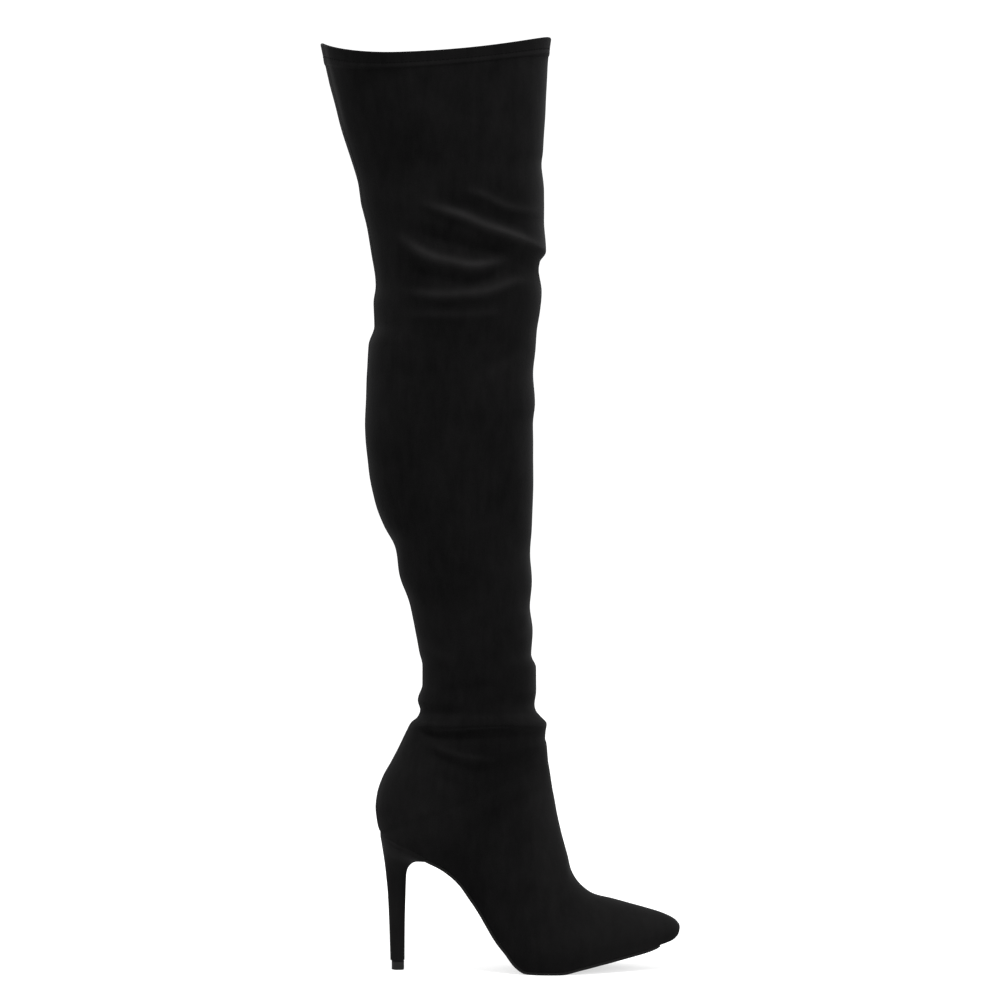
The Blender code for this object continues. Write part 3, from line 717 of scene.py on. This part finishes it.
# Faces, with strips that close the lasting margin's edges where the two sides stay apart
faces = []
slots = []
for i in range(rows - 1):
    for j in range(columns - 1):
        a = i * columns + j
        faces.append((a, a + columns, a + columns + 1, a + 1))
        slots.append(1 if i < inner_to - 1 else 0)
sole_rows = len(outer_skin) - corner_row
met = margins_meet(outer_skin)[corner_row:]
for i in range(sole_rows - 1):
    if met[i] and met[i + 1]:
        continue
    for j in (0, columns - 1):
        above, below = ((rows - sole_rows + i + k) * columns + j for k in (0, 1))
        inner_above, inner_below = ((sole_rows - 1 - i - k) * columns + j for k in (0, 1))
        strip = (above, inner_above, inner_below, below)
        faces.append(strip if j == 0 else strip[::-1])
        slots.append(0)

# The mesh keeps its rub and painted light, the points on the feather line, and the cloth's layout
cloth_mesh = bpy.data.meshes.new("boot_upper")
cloth_mesh.from_pydata(grid.reshape(-1, 3).tolist(), [], faces)
cloth_mesh.polygons.foreach_set("material_index", slots)
worn = cloth_mesh.attributes.new("rub_and_light", "FLOAT", "POINT")
worn.data.foreach_set("value", rub_and_light_all.reshape(-1))
feather = np.zeros((rows, columns), dtype=bool)
feather[rows - sole_rows:-TOE_RINGS, (MARGIN_COLUMNS, columns - 1 - MARGIN_COLUMNS)] = True
marked = cloth_mesh.attributes.new("feather", "BOOLEAN", "POINT")
marked.data.foreach_set("value", feather.reshape(-1))
layout = cloth_mesh.uv_layers.new(name="cloth")
corners = np.empty(len(cloth_mesh.loops), dtype=np.int32)
cloth_mesh.loops.foreach_get("vertex_index", corners)
uv = np.column_stack([round_all.reshape(-1)[corners], np.repeat(down_all, columns)[corners]])
layout.data.foreach_set("uv", uv.reshape(-1))

SLIVER = 1e-7
CLOTH_SHARP = 0.9


def close_skin(mesh, sharp):
    """Merge points that coincide, turn all faces outwards, and shade all but the sharp edges."""
    work = bmesh.new()
    work.from_mesh(mesh)
    bmesh.ops.remove_doubles(work, verts=work.verts, dist=MERGE)
    bmesh.ops.dissolve_degenerate(work, edges=work.edges, dist=SLIVER)
    bmesh.ops.recalc_face_normals(work, faces=work.faces)
    work.to_mesh(mesh)
    work.free()
    mesh.shade_smooth()
    mesh.set_sharp_from_angle(angle=sharp)


def put_in_scene(name, data):
    made = bpy.data.objects.new(name, data)
    bpy.context.scene.collection.objects.link(made)
    return made


# The edge along the feather line stays crisp
close_skin(cloth_mesh, CLOTH_SHARP)
marked = cloth_mesh.attributes["feather"]
for edge in cloth_mesh.edges:
    if all(marked.data[k].value for k in edge.vertices):
        edge.use_edge_sharp = True
upper = put_in_scene("boot_upper", cloth_mesh)


class Reading:
    """A node's output in a material. Python's operators on it add Math nodes."""

    def __init__(self, tree, socket):
        self.tree = tree
        self.socket = socket

    def math(self, operation, *others):
        values = dict(enumerate((self, *others)))
        return add(self.tree, "ShaderNodeMath", {"operation": operation}, values)

    def __add__(self, other):
        return self.math("ADD", other)

    def __sub__(self, other):
        return self.math("SUBTRACT", other)

    def __mul__(self, other):
        return self.math("MULTIPLY", other)

    def __rsub__(self, other):
        return self.math("MULTIPLY", -1.0).math("ADD", other)

    def __abs__(self):
        return self.math("ABSOLUTE")

    __radd__ = __add__
    __rmul__ = __mul__

    def below(self, edge, soft):
        """1 well under an edge, 0 well over it, and smooth across the soft width between."""
        settings = {"interpolation_type": "SMOOTHSTEP", "clamp": True}
        values = {"Value": self, "From Min": edge - soft, "From Max": edge + soft}
        values.update({"To Min": 1.0, "To Max": 0.0})
        return add(self.tree, "ShaderNodeMapRange", settings, values)


def add(tree, kind, settings=None, values=None, output=0):
    """Add a node: its settings first, then the values or links of its sockets."""
    node = tree.nodes.new(kind)
    for name, setting in (settings or {}).items():
        setattr(node, name, setting)
    for key, value in (values or {}).items():
        if isinstance(value, Reading):
            tree.links.new(value.socket, node.inputs[key])
        else:
            node.inputs[key].default_value = value
    return Reading(tree, node.outputs[output]) if node.outputs else None


def material(name):
    made = bpy.data.materials.new(name)
    made.use_nodes = True
    made.node_tree.nodes.clear()
    return made, made.node_tree


def noise_at(tree, where, scale, detail=2.0, roughness=0.5):
    values = {"Vector": where, "Scale": scale, "Detail": detail, "Roughness": roughness}
    return add(tree, "ShaderNodeTexNoise", {}, values)


def stretched(tree, where, scale):
    return add(tree, "ShaderNodeMapping", {}, {"Vector": where, "Scale": scale})


def tint(tree, share, low, high):
    """A colour between two, by a share from 0 to 1."""
    settings = {"data_type": "RGBA", "clamp_factor": True}
    values = {0: share, 6: (*low, 1.0), 7: (*high, 1.0)}
    return add(tree, "ShaderNodeMix", settings, values, output=2)


def raised(tree, height, distance, strength=1.0):
    values = {"Height": height, "Distance": distance, "Strength": strength}
    return add(tree, "ShaderNodeBump", {}, values)


def shade(made, values):
    """Finish a material with one shader that has these values over its whole surface."""
    shader = add(made.node_tree, "ShaderNodeBsdfPrincipled", {}, values)
    add(made.node_tree, "ShaderNodeOutputMaterial", {}, {"Surface": shader})
    return made


def cloth_lines(tree):
    """The cloth's own layout, its lines round the leg, and its lines down the leg."""
    cloth = add(tree, "ShaderNodeUVMap", {"uv_map": "cloth"})
    around = add(tree, "ShaderNodeSeparateXYZ", {}, {"Vector": cloth})
    return cloth, around, Reading(tree, around.socket.node.outputs[1])


SUEDE_DARK = (0.0012, 0.00117, 0.0012)
SUEDE_RUBBED_AND_LIT = (0.0092, 0.0089, 0.0090)

# The back seam runs a little to the outer side at the collar and comes nearer to the middle
# down the leg. Each mark of it has its reach across, and how softly that ends. A band of
# painted highlight runs beside it down from the collar, its ridge is painted a little lighter,
# and its slit darker as painted shade.
SEAM_OFF = 0.015
SEAM_DRIFT = 0.035
SEAM_NEAR = 0.004
SEAM_SOFT_END = 0.002
SEAM_RIDGE = (0.0036, 0.0016)
SEAM_SLIT = (0.0008, 0.0007)
SEAM_HIGHLIGHT_OFF = 0.0065
SEAM_HIGHLIGHT_REACH = (0.0048, 0.0045)
SEAM_HIGHLIGHT_END = (0.066, 0.022)


def suede(name, seamed, worn=0.0):
    """Black microsuede: a short nap, worn lighter in patches, and a soft bloom at its edges."""
    made, tree = material(name)
    where = add(tree, "ShaderNodeTexCoord", output=3)
    patches = noise_at(tree, where, 21.0, 4.0, 0.6)
    strokes = noise_at(tree, stretched(tree, where, (150.0, 150.0, 45.0)), 1.0, 3.0, 0.6)
    nap = noise_at(tree, where, 1500.0, 2.0, 0.6)
    grain = noise_at(tree, where, 420.0, 3.0, 0.6)
    # The nap's tone, lighter in patches at random; worn lightens it all over, and a seamed upper
    # adds painted light
    tone_rub_and_light = patches * 0.36 + strokes * 0.24 + nap * 0.2 + (worn - 0.27)
    height = nap * 0.10 + grain * 0.12 + strokes * 0.10
    if seamed:
        cloth, around, down = cloth_lines(tree)
        off = (SEAM_OFF - down * SEAM_DRIFT).math("MAXIMUM", SEAM_NEAR)
        gap = abs(around - off)
        leg = down.below(PLACES[CORNER], SEAM_SOFT_END)
        ridge = gap.below(*SEAM_RIDGE) * leg
        slit = gap.below(*SEAM_SLIT) * leg
        # A band of painted highlight beside the seam, fading out down the leg
        seam_highlight = abs(around - off - SEAM_HIGHLIGHT_OFF).below(*SEAM_HIGHLIGHT_REACH) * (strokes * 0.8 + 0.6)
        seam_highlight = seam_highlight * down.below(*SEAM_HIGHLIGHT_END)
        tuck = noise_at(tree, stretched(tree, cloth, (60.0, 190.0, 1.0)), 1.0, 1.0)
        rub_and_light_map = add(tree, "ShaderNodeAttribute", {"attribute_name": "rub_and_light"}, output=2)
        height = height + ridge * (0.65 + tuck * 0.2) - slit * 0.6
        # Painted highlights on the seam's ridge and beside it, painted shade in its slit, and the
        # mesh's painted light
        tone_rub_and_light = tone_rub_and_light + ridge * 0.12 - slit * 0.6 + seam_highlight * 0.85 + rub_and_light_map * 0.55
    values = {
        "Base Color": tint(tree, tone_rub_and_light, SUEDE_DARK, SUEDE_RUBBED_AND_LIT),
        "Roughness": 0.97 - tone_rub_and_light * 0.08,
        "Specular IOR Level": 0.012,
        "Sheen Weight": 0.036,
        "Sheen Roughness": 0.42,
        "Sheen Tint": (0.9, 0.9, 0.92, 1.0),
        "Normal": raised(tree, height, 0.001, 0.7),
    }
    return shade(made, values)


KNIT_DARK = (0.005, 0.0048, 0.005)
KNIT_LIGHT = (0.014, 0.0135, 0.0138)


def knit_lining(name):
    """Thin black knit that is bonded inside the shaft, with suede where the collar turns in."""
    made, tree = material(name)
    cloth, around, down = cloth_lines(tree)
    wales = (around * 3400.0).math("SINE")
    courses = (down * 4200.0).math("SINE")
    turned = down.below(HEM_HEIGHT, 0.0004)
    tone = noise_at(tree, cloth, 28.0, 3.0) * 0.6 + wales * courses * 0.12 - turned * 0.5
    height = wales * courses * 0.08 * (1 - turned) + turned * 0.5
    values = {
        "Base Color": tint(tree, tone, KNIT_DARK, KNIT_LIGHT),
        "Roughness": 0.85 + turned * 0.1,
        "Specular IOR Level": 0.15,
        "Sheen Weight": 0.05,
        "Sheen Roughness": 0.4,
        "Normal": raised(tree, height, 0.001, 0.6),
    }
    return shade(made, values)


cloth_mesh.materials.append(suede("black_microsuede", seamed=True))
cloth_mesh.materials.append(knit_lining("knit_lining"))
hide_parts("upper")
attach(upper, "root")

# Collar stitching
# The collar's turned edge is held by one row of lockstitch just above its raw edge, in matt
# black thread. It shows outside, and again on the lining.

STITCH_PITCH = 0.0032
STITCH_LENGTH = 0.0026
STITCH_LIFT = 0.1
THREAD = 0.0004
THREAD_DARK = (0.001, 0.001, 0.00102)
THREAD_LIGHT = (0.003, 0.003, 0.0031)
STITCH_DOWN = HEM_HEIGHT - WELT - THREAD / 2


def stitch_tree():
    """Node tree that lays a stitch at every pitch along the edges it is given."""
    tree = bpy.data.node_groups.new("stitching", "GeometryNodeTree")
    kinds = {
        "Path": ("INPUT", "NodeSocketGeometry"),
        "Pitch": ("INPUT", "NodeSocketFloat"),
        "Length": ("INPUT", "NodeSocketFloat"),
        "Thread": ("INPUT", "NodeSocketFloat"),
        "Material": ("INPUT", "NodeSocketMaterial"),
        "Stitches": ("OUTPUT", "NodeSocketGeometry"),
    }
    for name, (way, kind) in kinds.items():
        tree.interface.new_socket(name=name, in_out=way, socket_type=kind)
    given = tree.nodes.new("NodeGroupInput")

    def part(name):
        return Reading(tree, given.outputs[name])

    path = add(tree, "GeometryNodeMeshToCurve", {}, {"Mesh": part("Path")})
    values = {"Curve": path, "Length": part("Pitch")}
    spots = add(tree, "GeometryNodeResampleCurve", {"mode": "LENGTH"}, values)
    ball = add(tree, "GeometryNodeMeshUVSphere", {}, {"Segments": 8, "Rings": 6, "Radius": 0.5})
    values = {"X": part("Length"), "Y": part("Thread"), "Z": part("Thread")}
    size = add(tree, "ShaderNodeCombineXYZ", {}, values)
    stitch = add(tree, "GeometryNodeTransform", {}, {"Geometry": ball, "Scale": size})
    along = add(tree, "GeometryNodeInputTangent")
    turn = add(tree, "FunctionNodeAlignRotationToVector", {"axis": "X"}, {"Vector": along})
    values = {"Points": spots, "Instance": stitch, "Rotation": turn}
    row = add(tree, "GeometryNodeInstanceOnPoints", {}, values)
    real = add(tree, "GeometryNodeRealizeInstances", {}, {"Geometry": row})
    smooth = add(tree, "GeometryNodeSetShadeSmooth", {}, {"Geometry": real})
    values = {"Geometry": smooth, "Material": part("Material")}
    done = add(tree, "GeometryNodeSetMaterial", {}, values)
    last = tree.nodes.new("NodeGroupOutput")
    tree.links.new(done.socket, last.inputs["Stitches"])
    return tree


def thread(name):
    """Matt black polyester thread with its twist."""
    made, tree = material(name)
    where = add(tree, "ShaderNodeTexCoord", output=3)
    twist = noise_at(tree, where, 1800.0, 1.0)
    values = {
        "Base Color": tint(tree, twist, THREAD_DARK, THREAD_LIGHT),
        "Roughness": 0.8,
        "Specular IOR Level": 0.01,
        "Normal": raised(tree, twist, 0.0002),
    }
    return shade(made, values)


def collar_stitches():
    """Sew round the collar on both faces of the hem, with each stitch half sunk in the cloth."""
    row = min(range(len(places)), key=lambda k: abs(places[k] - STITCH_DOWN))
    share = (STITCH_DOWN - places[row - 1]) / (places[row] - places[row - 1])
    round_once = slice(MARGIN_COLUMNS, -MARGIN_COLUMNS - 1)
    lines = []
    for cloth, way in ((outer_skin, 1), (inner_skin, -1)):
        middle = cloth[row - 1] + (cloth[row] - cloth[row - 1]) * share
        lines.append((middle + outward[row] * THREAD * STITCH_LIFT * way)[round_once])
    count = len(lines[0])
    edges = [(k, (k + 1) % count) for k in range(count)]
    edges += [(a + count, b + count) for a, b in edges]
    path = bpy.data.meshes.new("collar_path")
    path.from_pydata(np.vstack(lines).tolist(), edges, [])
    laid = put_in_scene("collar_path", path)
    tree = stitch_tree()
    maker = laid.modifiers.new("stitching", "NODES")
    maker.node_group = tree
    chosen = {
        "Pitch": STITCH_PITCH,
        "Length": STITCH_LENGTH,
        "Thread": THREAD,
        "Material": thread("sewing_thread"),
    }
    for item in tree.interface.items_tree:
        if item.name in chosen:
            maker[item.identifier] = chosen[item.name]
    seen = laid.evaluated_get(bpy.context.evaluated_depsgraph_get())
    stitched = put_in_scene("collar_stitches", bpy.data.meshes.new_from_object(seen))
    bpy.data.objects.remove(laid)
    return stitched


stitches = collar_stitches()
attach(stitches, "root")

# Insole
# A board cut to the last's bottom, which the upper is pulled over, faced inside the boot with
# a thin padded sock whose edge is pressed down all round.

INSOLE_WALL = 0.002
INSOLE_INSET = 0.0008
INSOLE_TOE_GAP = 0.008
INSOLE_ROUNDING = (0.0002, 0.0009)
SOCK_DARK = (0.012, 0.0115, 0.0112)
SOCK_LIGHT = (0.024, 0.023, 0.0225)

# How finely the sole sheets are cut: along their length, round their ends, over their edges
# and across their flats.
STATION_STEP = 0.0025
TOE_STATIONS = 10
HEEL_STATIONS = 12
EDGE_STEPS = 4
FLAT_STEPS = 6
NARROWEST = 1e-5


def feather_line(lift):
    """The feather line from the side and the same line moved up by a lift."""
    points = [Vector(SLICE_AT(place)[:2]) for place in places if place >= PLACES[CORNER]]
    lifted = []
    for k, point in enumerate(points):
        ahead = points[min(k + 1, len(points) - 1)] - points[max(k - 1, 0)]
        lifted.append(point + Vector((-ahead.y, ahead.x)).normalized() * lift)
    return points, lifted


def lifted_point(x, line):
    points, lifted = line
    k = next((k for k in range(len(points) - 2) if x < points[k + 1].x), len(points) - 2)
    return lifted[k].lerp(lifted[k + 1], (x - points[k].x) / (points[k + 1].x - points[k].x))


def sheet_stations(start, end, round_heel):
    """Places along a sole sheet, closer together at its round ends."""
    count = round((end - start) / STATION_STEP)
    reach = [start + (end - start) * (k / count) for k in range(count + 1)]
    toe, heel = TOE_ROUND * FOOT_LENGTH, HEEL_ROUND * FOOT_LENGTH
    reach = [x for x in reach if x < end - toe and (not round_heel or x > start + heel)]
    for k in range(TOE_STATIONS + 1):
        reach.append(end - toe * (1 - sin(k / TOE_STATIONS * pi / 2)))
    if round_heel:
        for k in range(HEEL_STATIONS + 1):
            reach.append(start + heel * (1 - cos(k / HEEL_STATIONS * pi / 2)))
    return sorted(reach)


def edge_section(half_outer, half_inner, thick, rounding):
    """Points round a sheet's section as sideways place and height, with its edges rounded."""
    low, high = rounding
    section = []
    for way, half in ((-1, half_outer), (1, half_inner)):
        side = [(half * k / FLAT_STEPS, 0.0) for k in range(FLAT_STEPS)]
        reach = min(half, low)
        for k in range(EDGE_STEPS + 1):
            turn = k / EDGE_STEPS * pi / 2
            side.append((half - reach + reach * sin(turn), low * (1 - cos(turn))))
        reach = min(half, high)
        for k in range(EDGE_STEPS + 1):
            turn = k / EDGE_STEPS * pi / 2
            side.append((half - reach + reach * cos(turn), thick - high + high * sin(turn)))
        side += [(half * k / FLAT_STEPS, thick) for k in range(FLAT_STEPS - 1, -1, -1)]
        line = [(way * across, height) for across, height in side]
        section += line if way < 0 else line[-2:0:-1]
    return section


def sole_piece(name, stations, lifts, inset, toe_gap, rounding):
    """A sheet under the last's bottom between two lifts from the feather line."""
    low, high = (feather_line(lift) for lift in lifts)
    thick = lifts[1] - lifts[0]
    rows = []
    for x in stations:
        bottom, top = lifted_point(x, low), lifted_point(x, high)
        row = []
        sides = (True, False)
        halves = [max(sole_half(x, outer, inset, toe_gap), NARROWEST) for outer in sides]
        for across, height in edge_section(*halves, thick, rounding):
            point = bottom.lerp(top, height / thick)
            row.append((point.x, sole_middle(x) + across, point.y))
        rows.append(row)
    return skin_rows(name, rows)


SKIN_SHARP = 0.7


def skin_rows(name, rows):
    """A closed skin over rings of points, with a pole in the middle of each end."""
    rings = [np.array(row) for row in rows]
    poles = [np.tile(ring.mean(axis=0), (len(ring), 1)) for ring in (rings[0], rings[-1])]
    grid = np.vstack([poles[0], *rings, poles[1]])
    count = len(rings[0])
    faces = []
    for i in range(len(rings) + 1):
        for j in range(count):
            a, b = i * count + j, i * count + (j + 1) % count
            faces.append((a, a + count, b + count, b))
    mesh = bpy.data.meshes.new(name)
    mesh.from_pydata(grid.tolist(), [], faces)
    close_skin(mesh, SKIN_SHARP)
    return put_in_scene(name, mesh)


def sock_lining(name):
    """Thin black synthetic leather with a fine pebble, duller where it is a little worn."""
    made, tree = material(name)
    where = add(tree, "ShaderNodeTexCoord", output=3)
    pebble = add(tree, "ShaderNodeTexVoronoi", {}, {"Vector": where, "Scale": 900.0})
    wear = noise_at(tree, where, 40.0, 3.0)
    values = {
        "Base Color": tint(tree, wear, SOCK_DARK, SOCK_LIGHT),
        "Roughness": 0.5 + wear * 0.25,
        "Specular IOR Level": 0.35,
        "Normal": raised(tree, pebble + wear * 0.4, 0.0002, 0.5),
    }
    return shade(made, values)


insole_start = foot_x(SEAT_AT) + WALL + INSOLE_INSET
insole_end = foot_x(1.0) - INSOLE_TOE_GAP - WALL - INSOLE_INSET
insole_lifts = (WALL + CLEARANCE, WALL + CLEARANCE + INSOLE_WALL)
insole = sole_piece(
    "insole_sock",
    sheet_stations(insole_start, insole_end, True),
    insole_lifts,
    WALL + INSOLE_INSET,
    INSOLE_TOE_GAP,
    INSOLE_ROUNDING,
)
insole.data.materials.append(sock_lining("sock_lining"))
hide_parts("insole")
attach(insole, "root")

# Outsole
# A thin moulded sheet glued under the forefoot and the waist, black and satin, with its edge
# trimmed almost square. It starts at the heel's breast and ends short of the toe.

OUTSOLE_INSET = 0.0012
OUTSOLE_TOE_GAP = 0.015
OUTSOLE_ROUNDING = (0.0006, 0.0002)
RUBBER_DARK = (0.002, 0.0019, 0.0019)
RUBBER_SCUFFED = (0.007, 0.0068, 0.0066)


def sole_rubber(name):
    """Black satin rubber with a fine stipple moulded in, and a few scuffs."""
    made, tree = material(name)
    where = add(tree, "ShaderNodeTexCoord", output=3)
    stipple = add(tree, "ShaderNodeTexVoronoi", {}, {"Vector": where, "Scale": 650.0})
    scuffs = noise_at(tree, stretched(tree, where, (60.0, 240.0, 60.0)), 1.0, 4.0, 0.65)
    values = {
        "Base Color": tint(tree, scuffs, RUBBER_DARK, RUBBER_SCUFFED),
        "Roughness": 0.55 + scuffs * 0.3,
        "Specular IOR Level": 0.08,
        "Normal": raised(tree, stipple * 0.5 + scuffs * 0.5, 0.0003, 0.4),
    }
    return shade(made, values)


outsole_start = foot_x(BREAST_AT) + CLEARANCE
outsole_end = foot_x(1.0) - OUTSOLE_TOE_GAP - OUTSOLE_INSET
outsole = sole_piece(
    "outsole_sheet",
    sheet_stations(outsole_start, outsole_end, False),
    (-SOLE_STACK, -CLEARANCE),
    OUTSOLE_INSET,
    OUTSOLE_TOE_GAP,
    OUTSOLE_ROUNDING,
)
outsole.data.materials.append(sole_rubber("sole_rubber"))
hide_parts("outsole")
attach(outsole, "root")

# Heel
# A moulded plastic stiletto wrapped in the upper's suede. Its cup fits under the seat and is
# screwed and glued on from inside, and its slim stem ends over the top lift.

LIFT_HEIGHT = 0.0067
LIFT_LENGTH = 0.0098
LIFT_WIDTH = 0.0096
HEEL_INSET = 0.0002
HEEL_GAP = 0.00005
STEM_ROUND = 0.0008
HEEL_LIGHTER = 0.24
HEEL_ROWS = 90
QUARTER = 14

# Covered heel from its floor end to the seat. Rises run from the top lift to the seat, back
# and front from the lift's ends to the seat's back and its breast, and half from the lift's
# width to the seat's. Flat is the share of the front that is flat.
Stem = namedtuple("Stem", "back back_rise front front_rise half flat")
STEM = (
    Stem(0.11, 0.000, 0.02, 0.000, 0.03, 0.45),
    Stem(0.19, 0.231, 0.03, 0.231, 0.042, 0.45),
    Stem(0.34, 0.515, 0.07, 0.515, 0.08, 0.45),
    Stem(0.49, 0.658, 0.10, 0.653, 0.145, 0.45),
    Stem(0.59, 0.738, 0.18, 0.712, 0.26, 0.50),
    Stem(0.70, 0.806, 0.33, 0.748, 0.43, 0.60),
    Stem(0.81, 0.869, 0.53, 0.771, 0.66, 0.75),
    Stem(0.91, 0.925, 0.76, 0.778, 0.85, 0.88),
    Stem(0.98, 0.965, 0.94, 0.779, 0.94, 0.90),
)


def heel_ring(back, front, half, flat):
    """A ring with a round back and a flat front, as the heel has at every height."""
    sides = []
    for way in (-1, 1):
        side = []
        for k in range(QUARTER + 1):
            turn = k / QUARTER * pi / 2
            side.append(((1 - cos(turn)) / 2, way * half * sin(turn)))
        for k in range(1, QUARTER + 1):
            turn = k / QUARTER * pi / 2
            across = half * (flat + (1 - flat) * cos(turn))
            side.append(((1 + sin(turn)) / 2, way * across))
        sides.append(side)
    around = sides[0] + sides[1][:0:-1]
    return [back.lerp(front, share) + Vector((0, y, 0)) for share, y in around]


def heel_rows():
    """Rings of the heel from its worn floor end, up its slices, to the feather line."""
    foot = LIFT_HEIGHT + CLEARANCE
    height = HEEL_HEIGHT - foot
    back_reach = -foot_x(SEAT_AT) - LIFT_LENGTH / 2
    front_reach = foot_x(BREAST_AT) - LIFT_LENGTH / 2
    rings = []
    for row in STEM:
        back_x = -LIFT_LENGTH / 2 - row.back * back_reach
        front_x = LIFT_LENGTH / 2 + row.front * front_reach
        back = Vector((back_x, 0, foot + row.back_rise * height))
        front = Vector((front_x, 0, foot + row.front_rise * height))
        half = (LIFT_WIDTH + row.half * (SEAT_WIDTH - LIFT_WIDTH)) / 2
        rings.append(heel_ring(back, front, half, row.flat))
    line = feather_line(-HEEL_GAP)
    start = foot_x(SEAT_AT) + HEEL_INSET
    seat = []
    for point in heel_ring(Vector((start, 0, 0)), Vector((foot_x(BREAST_AT), 0, 0)), 1.0, 1.0):
        side = sole_half(point.x, point.y < 0, HEEL_INSET)
        level = lifted_point(point.x, line)
        seat.append(Vector((level.x, side if point.y > 0 else -side, level.y)))
    rings.append(seat)
    knots = np.array(rings)
    steps = np.linalg.norm(np.diff(knots, axis=0), axis=2).mean(axis=1)
    ups = [0.0, *np.cumsum(steps).tolist()]
    flow = smooth_table(ups, knots.reshape(len(rings), -1).T.tolist())
    rows = [np.array(flow(ups[-1] * k / HEEL_ROWS)).reshape(-1, 3) for k in range(HEEL_ROWS + 1)]
    edge = rows[0].mean(axis=0)
    worn = edge + (rows[0] - edge) * (1 - 2 * STEM_ROUND / LIFT_WIDTH)
    return [worn, rows[0] + np.array((0, 0, STEM_ROUND)), *rows[1:]]


heel = skin_rows("heel_cover", heel_rows())
# The heel's cover is the same suede, made lighter all over
heel.data.materials.append(suede("heel_suede", seamed=False, worn=HEEL_LIGHTER))
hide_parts("heel")
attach(heel, "root")

# Top lift
# A small plate of hard black plastic with a flat front, pinned into the end of the stem, its
# edges rounded and its faces scuffed by walking.

# The lift's side from the floor up, as heights and how far it is drawn in there
LIFT_SIDE = (
    (0.0, 0.0006),
    (0.00018, 0.00018),
    (0.0006, 0.0),
    (LIFT_HEIGHT - 0.0003, 0.0),
    (LIFT_HEIGHT, 0.0003),
)
LIFT_DARK = (0.003, 0.0029, 0.0029)
LIFT_SCUFFED = (0.008, 0.0078, 0.0077)


def lift_plastic(name):
    made, tree = material(name)
    where = add(tree, "ShaderNodeTexCoord", output=3)
    grit = noise_at(tree, where, 1400.0, 3.0)
    marks = noise_at(tree, stretched(tree, where, (300.0, 300.0, 1400.0)), 1.0, 3.0)
    values = {
        "Base Color": tint(tree, marks, LIFT_DARK, LIFT_SCUFFED),
        "Roughness": 0.45 + grit * 0.2,
        "Specular IOR Level": 0.1,
        "Normal": raised(tree, grit + marks, 0.0001, 0.4),
    }
    return shade(made, values)


def lift_rows():
    rings = []
    for height, rounding in LIFT_SIDE:
        back = Vector((-LIFT_LENGTH / 2 + rounding, 0, height))
        front = Vector((LIFT_LENGTH / 2 - rounding, 0, height))
        rings.append(heel_ring(back, front, LIFT_WIDTH / 2 - rounding, STEM[0].flat))
    return rings


top_lift = skin_rows("top_lift_tip", lift_rows())
top_lift.data.materials.append(lift_plastic("lift_plastic"))
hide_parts("top_lift")
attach(top_lift, "root")

# Studio
# The boot stands on a white table top that runs past the view and is lit from below, under a
# wide soft overhead light with one softer light from each side.

FLOOR_HALF = 14.0
FLOOR_DARK = (0.40, 0.40, 0.40)
FLOOR_LIGHT = (0.42, 0.42, 0.42)
FLOOR_GLOW = 0.64
SKY_STRENGTH = 1.1


def pale_floor(name):
    made, tree = material(name)
    where = add(tree, "ShaderNodeTexCoord", output=3)
    mottle = noise_at(tree, where, 6.0, 2.0)
    values = {
        "Base Color": tint(tree, mottle, FLOOR_DARK, FLOOR_LIGHT),
        "Roughness": 0.75,
        "Specular IOR Level": 0.2,
        "Emission Color": (1.0, 1.0, 1.0, 1.0),
        "Emission Strength": FLOOR_GLOW,
    }
    return shade(made, values)


floor_mesh = bpy.data.meshes.new("floor")
corners = [(x * FLOOR_HALF, y * FLOOR_HALF, 0.0) for x, y in ((-1, -1), (1, -1), (1, 1), (-1, 1))]
floor_mesh.from_pydata(corners, [], [(0, 1, 2, 3)])
floor_mesh.materials.append(pale_floor("pale_floor"))
floor = put_in_scene("floor", floor_mesh)
floor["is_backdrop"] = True

Lamp = namedtuple("Lamp", "name place aim size power")
LAMPS = (
    Lamp("overhead", (0.25, -0.8, 2.9), (0.05, 0.0, 0.4), 0.9, 120.0),
    Lamp("left_front", (-1.6, -1.7, 1.5), (0.04, 0.0, 0.4), 0.9, 26.0),
    Lamp("right_front", (1.9, -1.2, 1.2), (0.06, 0.0, 0.4), 0.8, 22.0),
)
for lamp in LAMPS:
    light = bpy.data.lights.new(lamp.name, "AREA")
    light.shape = "DISK"
    light.size = lamp.size
    light.energy = lamp.power
    holder = put_in_scene(lamp.name, light)
    holder.location = lamp.place
    aim = Vector(lamp.aim) - Vector(lamp.place)
    holder.rotation_euler = aim.to_track_quat("-Z", "Y").to_euler()

world = bpy.data.worlds.new("studio")
world.use_nodes = True
sky = world.node_tree.nodes["Background"]
sky.inputs["Color"].default_value = (1.0, 1.0, 1.0, 1.0)
sky.inputs["Strength"].default_value = SKY_STRENGTH
bpy.context.scene.world = world
bpy.context.scene.view_settings.view_transform = "Standard"

# Camera
# It looks level at the boot's outer side from about two and a half metres, as the photograph
# does, and takes in a square of the boot's plane.

VIEW_DISTANCE = 2.45
VIEW_MIDDLE = (0.0807, 0.3707)
VIEW_WIDTH = 0.79

lens = bpy.data.cameras.new("camera")
lens.sensor_width = 36.0
lens.lens = lens.sensor_width * VIEW_DISTANCE / VIEW_WIDTH
camera = put_in_scene("camera", lens)
camera.location = (VIEW_MIDDLE[0], -VIEW_DISTANCE, VIEW_MIDDLE[1])
camera.rotation_euler = (pi / 2, 0, 0)
bpy.context.scene.camera = camera

boxes = {"cad": cad_box, "visual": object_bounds()}
{name: [list(corner) for corner in box] for name, box in boxes.items()}
